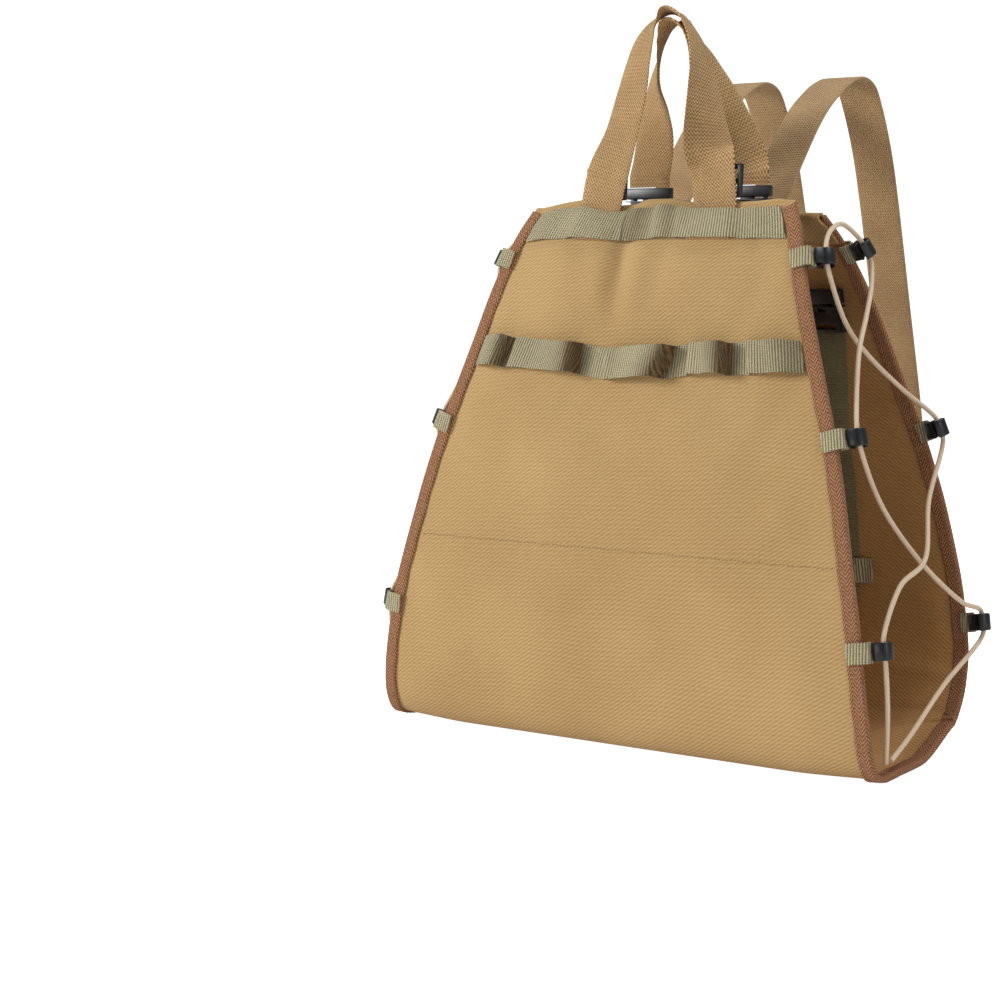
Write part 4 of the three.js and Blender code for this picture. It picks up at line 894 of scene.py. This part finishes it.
# A smoother webbing than the handles', with a finer grain.
strap_web = webbing_material(
    "soft cotton webbing, tan", "#81603c", "#cfae80", 2.6, 2.4, 0.05, 0.34, 0.0, 0.85)
ADJUSTER = (46, 27, 5)
ADJUSTER_HALF = 14.0
adjuster_frame = ladder_frame("adjuster_frame", *ADJUSTER, 4, 5)
for word, side in (("left", -1), ("right", 1)):
    x = side * STRAP_SPREAD
    downs = np.array([72.0, 48.0, 24.0, 7.0])
    lift = CLOTH / 2 + 2 * CLEARANCE
    sewn, _ = on_sheet(SHEET_LENGTH - downs, np.full(4, x), np.full(4, lift + HANDLE_THICK / 2))
    free = np.array([(x, d * BAG_DEPTH, h * BAG_HEIGHT) for d, h in SHOULDER_ROUTE])
    line = smooth_path(np.concatenate([sewn, free]), 190)
    near, _ = on_sheet(SHEET_LENGTH - 24, x - 10, 0.0)
    far, _ = on_sheet(SHEET_LENGTH - 24, x + 10, 0.0)
    share = ease(np.arange(190), 20, 50)[:, None]
    widths = unit(far - near)[None, :] * (1 - share) + np.array([[1.0, 0, 0]]) * share
    strap = ribbon("shoulder_webbing_" + word, line, widths, HANDLE_WIDTH, HANDLE_THICK, strap_web)
    fasten(strap, ["shoulder_strap_" + word])
    lower = np.array([(x, d * BAG_DEPTH, h * BAG_HEIGHT) for d, h in LOWER_ROUTE])
    along = unit(free[-1] - lower[0])
    centre = free[-1] - along * ADJUSTER_HALF
    up = Vector(along)
    piece = placed_copy(adjuster_frame, "ladder_adjuster_" + word, centre, right, up, right.cross(up))
    fasten(piece, ["strap_adjuster_" + word])
    ups = length_at("back", 0.3 * BAG_HEIGHT) + np.array([0.0, 25.0, 50.0])
    anchor, _ = on_sheet(ups, np.full(3, x), np.full(3, lift + LOWER_THICK / 2))
    line = smooth_path(np.concatenate([[centre - along * ADJUSTER_HALF], lower[1:], anchor]), 120)
    level = np.tile([1.0, 0, 0], (120, 1))
    strap = ribbon("lower_webbing_" + word, line, level, LOWER_WIDTH, LOWER_THICK, khaki, 7)
    fasten(strap, ["lower_strap_" + word])
    line = smooth_path([(x, d * BAG_DEPTH, h * BAG_HEIGHT) for d, h in TAIL_ROUTE], 34)
    strap = ribbon("loose_end_" + word, line, level[:34], LOWER_WIDTH, LOWER_THICK, khaki, 7)
    fasten(strap, ["strap_tail_" + word])

# The braces: smooth olive webbing down the inside of both panels and over the floor, to pull the mouth shut.
# A buckle closes each end, and a short khaki bridge sewn over each brace keeps it at its place.
BRACE_SPREAD = 103.1
BRACE_WIDTH = 30.0
BRACE_BUCKLE = (38, 34, 7)
BRIDGE_WIDTH = 20.0
olive_web = webbing_material(
    "flat polyester webbing, olive", "#5d543a", "#9a9068", 2.4, 1.6, 0.12, 0.12, 0.0, 0.6)
brace_start = length_at("front", 0.83 * BAG_HEIGHT)
brace_end = length_at("back", 0.76 * BAG_HEIGHT)
brace_buckle = side_release_buckle("brace_buckle", *BRACE_BUCKLE)
for word, side in (("left", -1), ("right", 1)):
    x = side * BRACE_SPREAD
    lengths = np.linspace(brace_start, brace_end, 260)[:, None]
    shares = np.array([-0.5, -0.47, -0.25, 0, 0.25, 0.47, 0.5])[None, :]
    lift = -(CLOTH / 2 + 1.4 * CLEARANCE + 0.8)
    across = x + shares * BRACE_WIDTH + 0 * lengths
    places, normals = on_sheet(lengths + 0 * shares, across, lift + 0 * across)
    brace = strip_piece(
        "brace_webbing_" + word, places, normals, shares * BRACE_WIDTH, lengths, STRIP_THICK, olive_web)
    fasten(brace, ["brace_" + word])
    for panel, end, sign in (("front", brace_start, 1), ("back", brace_end, -1)):
        raised = -(CLOTH / 2 + 4.6 * CLEARANCE + 3.5)
        at = end - sign * (1.2 + BRACE_BUCKLE[1] / 2)
        spots, _ = on_sheet(np.array([at, at + sign * 8, at - sign * 8]), np.full(3, x), np.full(3, raised))
        edges, _ = on_sheet(np.array([at, at]), np.array([x - 10, x + 10]), np.full(2, raised))
        up = unit(spots[2] - spots[1])
        width = edges[1] - edges[0]
        width = unit(width - up * np.dot(width, up))
        name = f"brace_side_buckle_{panel}_{word}"
        piece = placed_copy(brace_buckle, name, spots[0], width, up, np.cross(width, up))
        fasten(piece, [f"brace_buckle_{panel}_{word}"])
        middle_at = length_at(panel, (0.2 if panel == "front" else 0.3) * BAG_HEIGHT)
        rest = -(CLOTH / 2 + CLEARANCE + 0.8)
        over = lift - 0.8 - CLEARANCE - 0.8
        offs = np.array([-27, -23, -19.5, -18, -16.5, -12, 0, 12, 16.5, 18, 19.5, 23, 27.0])
        lifts = np.interp(np.abs(offs), [0, 16, 19, 27], [over, over, rest, rest])[:, None]
        up_web = ACROSS_STRIP * BRIDGE_WIDTH
        across = x + offs[:, None] + 0 * up_web
        places, normals = on_sheet(middle_at + up_web + 0 * across, across, lifts + 0 * up_web)
        bridge = strip_piece(
            f"bridge_{panel}_{word}", places, normals, up_web, offs[:, None] - offs[0], STRIP_THICK, khaki)
        fasten(bridge, [f"keeper_{panel}_{word}"])

# The cord tabs: short khaki webbing loops folded over the binding and sewn, three along each panel's edge.
# Each holds a moulded hook with an open barrel that the lace is pushed into.
TAB_HEIGHTS = {"front": [0.897, 0.583, 0.232], "back": [0.91, 0.575, 0.22]}
TAB_SWINGS = {"front": [44, 46, 46], "back": [-12, 14, 22]}
TAB_HEIGHT = 15.0
TAB_REACH = 9.0
TAB_INSIDE = 1.5
TAB_NOSE = 9.5
TAB_WALL = 1.4
TAB_EASE = 0.9
HOOK_CHANNEL = 4.1
HOOK_RADIUS = 6.35
HOOK_LENGTH = 13.0
HOOK_FOOT = (6.4, 11.2, 12.6)
FOOT_MIDDLE = 6.9
HOOK_MIDDLE = TAB_NOSE + 5.0 + HOOK_CHANNEL
tab_inner = BINDING_HALF + TAB_EASE
tab_outer = tab_inner + TAB_WALL
tab_lip = BINDING_LIP + TAB_EASE
TAB_PIVOT = tab_lip + 0.6
nose = TAB_NOSE - TAB_PIVOT


def hook_frame(panel, tab, side):
    """The edge's frame at a tab, and the same turned about the tab's pivot as the lace pulls it."""
    seat = edge_frame(length_at(panel, TAB_HEIGHTS[panel][tab] * BAG_HEIGHT), side)
    point, out, normal, along = seat
    swing = math.radians(TAB_SWINGS[panel][tab])
    new_out = out * math.cos(swing) - normal * math.sin(swing)
    new_normal = normal * math.cos(swing) + out * math.sin(swing)
    return seat, (point + out * TAB_PIVOT - new_out * TAB_PIVOT, new_out, new_normal, along)


def tab_section(swing, wall):
    """Outline of a tab across its fold, its nose turned: wall 1 is its outer face, 0 its inner."""
    half = tab_inner + wall * TAB_WALL
    swing = math.radians(swing)
    thin = TAB_WALL * (0.1 + 0.9 * wall)
    free = [(1.0, half), (2.4, (half + thin) / 2 + 0.9 * wall), (4.0, thin + 0.5), (nose - 1.6, thin + 0.05)]
    free.append((nose - 1.5 * (1 - wall), thin * 0.85))
    turned = []
    for up in (1, -1):
        reach = TAB_REACH if up > 0 else TAB_INSIDE
        line = [(-reach, up * (half - 0.3 * wall)), (-reach + 0.4, up * half)]
        line += [(-reach / 2, up * (half + 0.1)), (0.0, up * half), (tab_lip, up * half)]
        line += [(
            TAB_PIVOT + a * math.cos(swing) + up * b * math.sin(swing),
            up * b * math.cos(swing) - a * math.sin(swing)) for a, b in free]
        turned.append(line)
    return np.array(turned[0] + turned[1][::-1])


bpy.ops.object.select_all(action="DESELECT")
bpy.ops.mesh.primitive_cylinder_add(
    vertices=40, radius=HOOK_RADIUS / 1000, depth=HOOK_LENGTH / 1000, location=(0, 0, 0))
hook = bpy.context.object
round_off(hook, 0.9, 3, 60)
bpy.ops.mesh.primitive_cylinder_add(
    vertices=32, radius=HOOK_CHANNEL / 1000, depth=0.03, location=(0, 0, 0))
cut_away(hook, bpy.context.object)
cut_away(hook, block("cut", (4.2, 9, 30), (0.0, -6.0, 0)))
foot = block("foot", HOOK_FOOT, (-FOOT_MIDDLE, 0, 0))
cut_away(foot, block("cut", (3.0, 6.6, 30), (-7.0, 0, 0)))
round_off(foot, 0.8, 2)
hook = join([hook, foot], "hook")
for panel in ("front", "back"):
    for word, side in (("left", -1), ("right", 1)):
        for number in (1, 2, 3):
            (point, out, normal, along), turned = hook_frame(panel, number - 1, side)
            spread = np.linspace(-0.5, 0.5, 9)
            swing = TAB_SWINGS[panel][number - 1]
            tab_line = tab_section(swing, 1)
            beside = (spread * TAB_HEIGHT)[None, :, None]
            grids = [
                point + out * line[:, 0, None, None] + normal * line[:, 1, None, None] + along * beside
                for line in (tab_line, tab_section(swing, 0))]
            girth = run_along(tab_line)[:, None]
            name = f"{panel}_{word}_{number}"
            tab = cloth_piece("tab_" + name, *grids, (spread * TAB_HEIGHT)[None, :], girth, khaki)
            fasten(tab, ["cord_tab_" + name])
            point, out, normal, along = turned
            barrel = point + out * HOOK_MIDDLE
            piece = placed_copy(hook, "hook_" + name, barrel, out, normal, np.cross(out, normal))
            fasten(piece, ["cord_hook_" + name])

# The laces: one woven elastic cord zigzags over each open side, from the floor's edge and back to it.
# It runs through every hook, so it can't lie free anywhere.
CORD = 3.8
LEFT_LACE = 0.72  # the left lace bulges less, so that it hides behind the bag
THROUGH_HOOK = 8.5
LACE_ROUTE = [  # (depth, height, out past the edge) or (panel, tab)
    (-0.372, 0.033, -2), (-0.435, 0.129, 8), ("front", 2), (-0.28, 0.33, 16), (-0.027, 0.364, 16.8),
    (0.194, 0.458, 8.9), ("back", 1), (0.269, 0.651, 5), (0.043, 0.725, 3), (-0.115, 0.785, 8), ("front", 0),
    (-0.08, 0.942, 13), (0.043, 0.957, 15), ("back", 0), (0.12, 0.853, 17), (0, 0.795, 16.7),
    (-0.16, 0.727, 16.6), ("front", 1), (-0.161, 0.459, 3), (0.053, 0.349, 6.8), (0.245, 0.273, 15.9),
    ("back", 2), (0.126, 0.129, 3), (-0.177, 0.06, -1), (-0.328, 0.033, -2),
]
elastic, tree, shader = cloth_material("woven elastic cord, cream")
measure = add_node(tree, "ShaderNodeUVMap", {"uv_map": "cloth"})
plait = []
for lean in (1.0, -1.0):
    strand = add_node(tree, "ShaderNodeVectorMath", {
        "operation": "DOT_PRODUCT", 1: (lean * 2 * math.pi / 0.0024, 2 * math.pi / 0.0024, 0)}, {0: measure})
    plait.append(add_node(tree, "ShaderNodeMath", {"operation": "SINE"}, {0: strand.outputs["Value"]}))
braid = add_node(tree, "ShaderNodeMath", {"operation": "MULTIPLY"}, {0: plait[0], 1: plait[1]})
mixed = add_node(tree, "ShaderNodeMath", {"operation": "MULTIPLY_ADD", 1: 0.4, 2: 0.55}, {0: braid})
tone = add_node(tree, "ShaderNodeMix", {
    "data_type": "RGBA", 6: srgb("#d3b08c"), 7: srgb("#fbe9cf")}, {0: mixed})
tree.links.new(tone.outputs[2], shader.inputs["Base Color"])
bump = add_node(tree, "ShaderNodeBump", {"Strength": 0.5, "Distance": 0.0002}, {"Height": braid})
tree.links.new(bump.outputs["Normal"], shader.inputs["Normal"])
shader.inputs["Roughness"].default_value = 0.6


def tube(name, line, radius, material, sides=14):
    """A round cord along points in millimetres, closed at both ends."""
    along = unit(np.gradient(line, axis=0))
    frames = []
    first = np.cross(along[0], [0.3, 0.2, 1.0])
    for direction in along:
        first = unit(first - direction * np.dot(first, direction))
        frames.append((first, np.cross(direction, first)))
    turn = np.linspace(0, 2 * np.pi, sides, endpoint=False)
    first = np.array([f[0] for f in frames])
    second = np.array([f[1] for f in frames])
    rings = line[:, None] + radius * (
        first[:, None] * np.cos(turn)[None, :, None] + second[:, None] * np.sin(turn)[None, :, None])
    index = np.arange(len(line) * sides).reshape(len(line), sides)
    onward = np.roll(index, -1, axis=1)
    faces = np.stack([index[:-1], onward[:-1], onward[1:], index[1:]], -1).reshape(-1, 4).tolist()
    faces.append(index[0][::-1].tolist())
    faces.append(index[-1].tolist())
    mesh = bpy.data.meshes.new(name)
    mesh.from_pydata((rings.reshape(-1, 3) / 1000).tolist(), [], faces)
    run = run_along(line)
    layer = mesh.uv_layers.new(name="cloth")
    girth = 2 * math.pi * radius / 1000
    for polygon in mesh.polygons:
        spots = [(v // sides, v % sides) for v in polygon.vertices]
        wraps = len(spots) == 4 and {0, sides - 1} <= {s for row, s in spots}
        for loop, (row, s) in zip(polygon.loop_indices, spots):
            u = (s + (sides if wraps and s == 0 else 0)) / sides * girth
            layer.data[loop].uv = (u, run[row] / 1000)
    piece = new_piece(name, mesh, material)
    face_outward()
    bpy.ops.object.shade_smooth_by_angle(angle=math.radians(50))
    return piece


for word, side in (("left", -1), ("right", 1)):
    knots = []
    for row in LACE_ROUTE:
        if isinstance(row[0], str):
            point, out, normal, along = hook_frame(*row, side)[1]
            ends = [point + out * HOOK_MIDDLE + along * end * THROUGH_HOOK for end in (-1, 0, 1)]
            if np.linalg.norm(ends[0] - knots[-1]) > np.linalg.norm(ends[2] - knots[-1]):
                ends.reverse()
            knots.extend(ends)
        else:
            z = row[1] * BAG_HEIGHT
            out = row[2] * (LEFT_LACE if side < 0 and row[2] > 0 else 1)
            knots.append(np.array([side * (half_width(z) + out), row[0] * BAG_DEPTH, z]))
    line = smooth_path(knots, 420)
    lace = tube("elastic_lace_" + word, line, CORD / 2, elastic)
    fasten(lace, ["lace_" + word])
    print("lace", word, round(float(run_along(line)[-1]), 1), "mm")

for pattern in (handle_buckle, handle_frame, adjuster_frame, brace_buckle, hook):
    bpy.data.objects.remove(pattern, do_unlink=True)
bpy.ops.object.select_all(action="DESELECT")
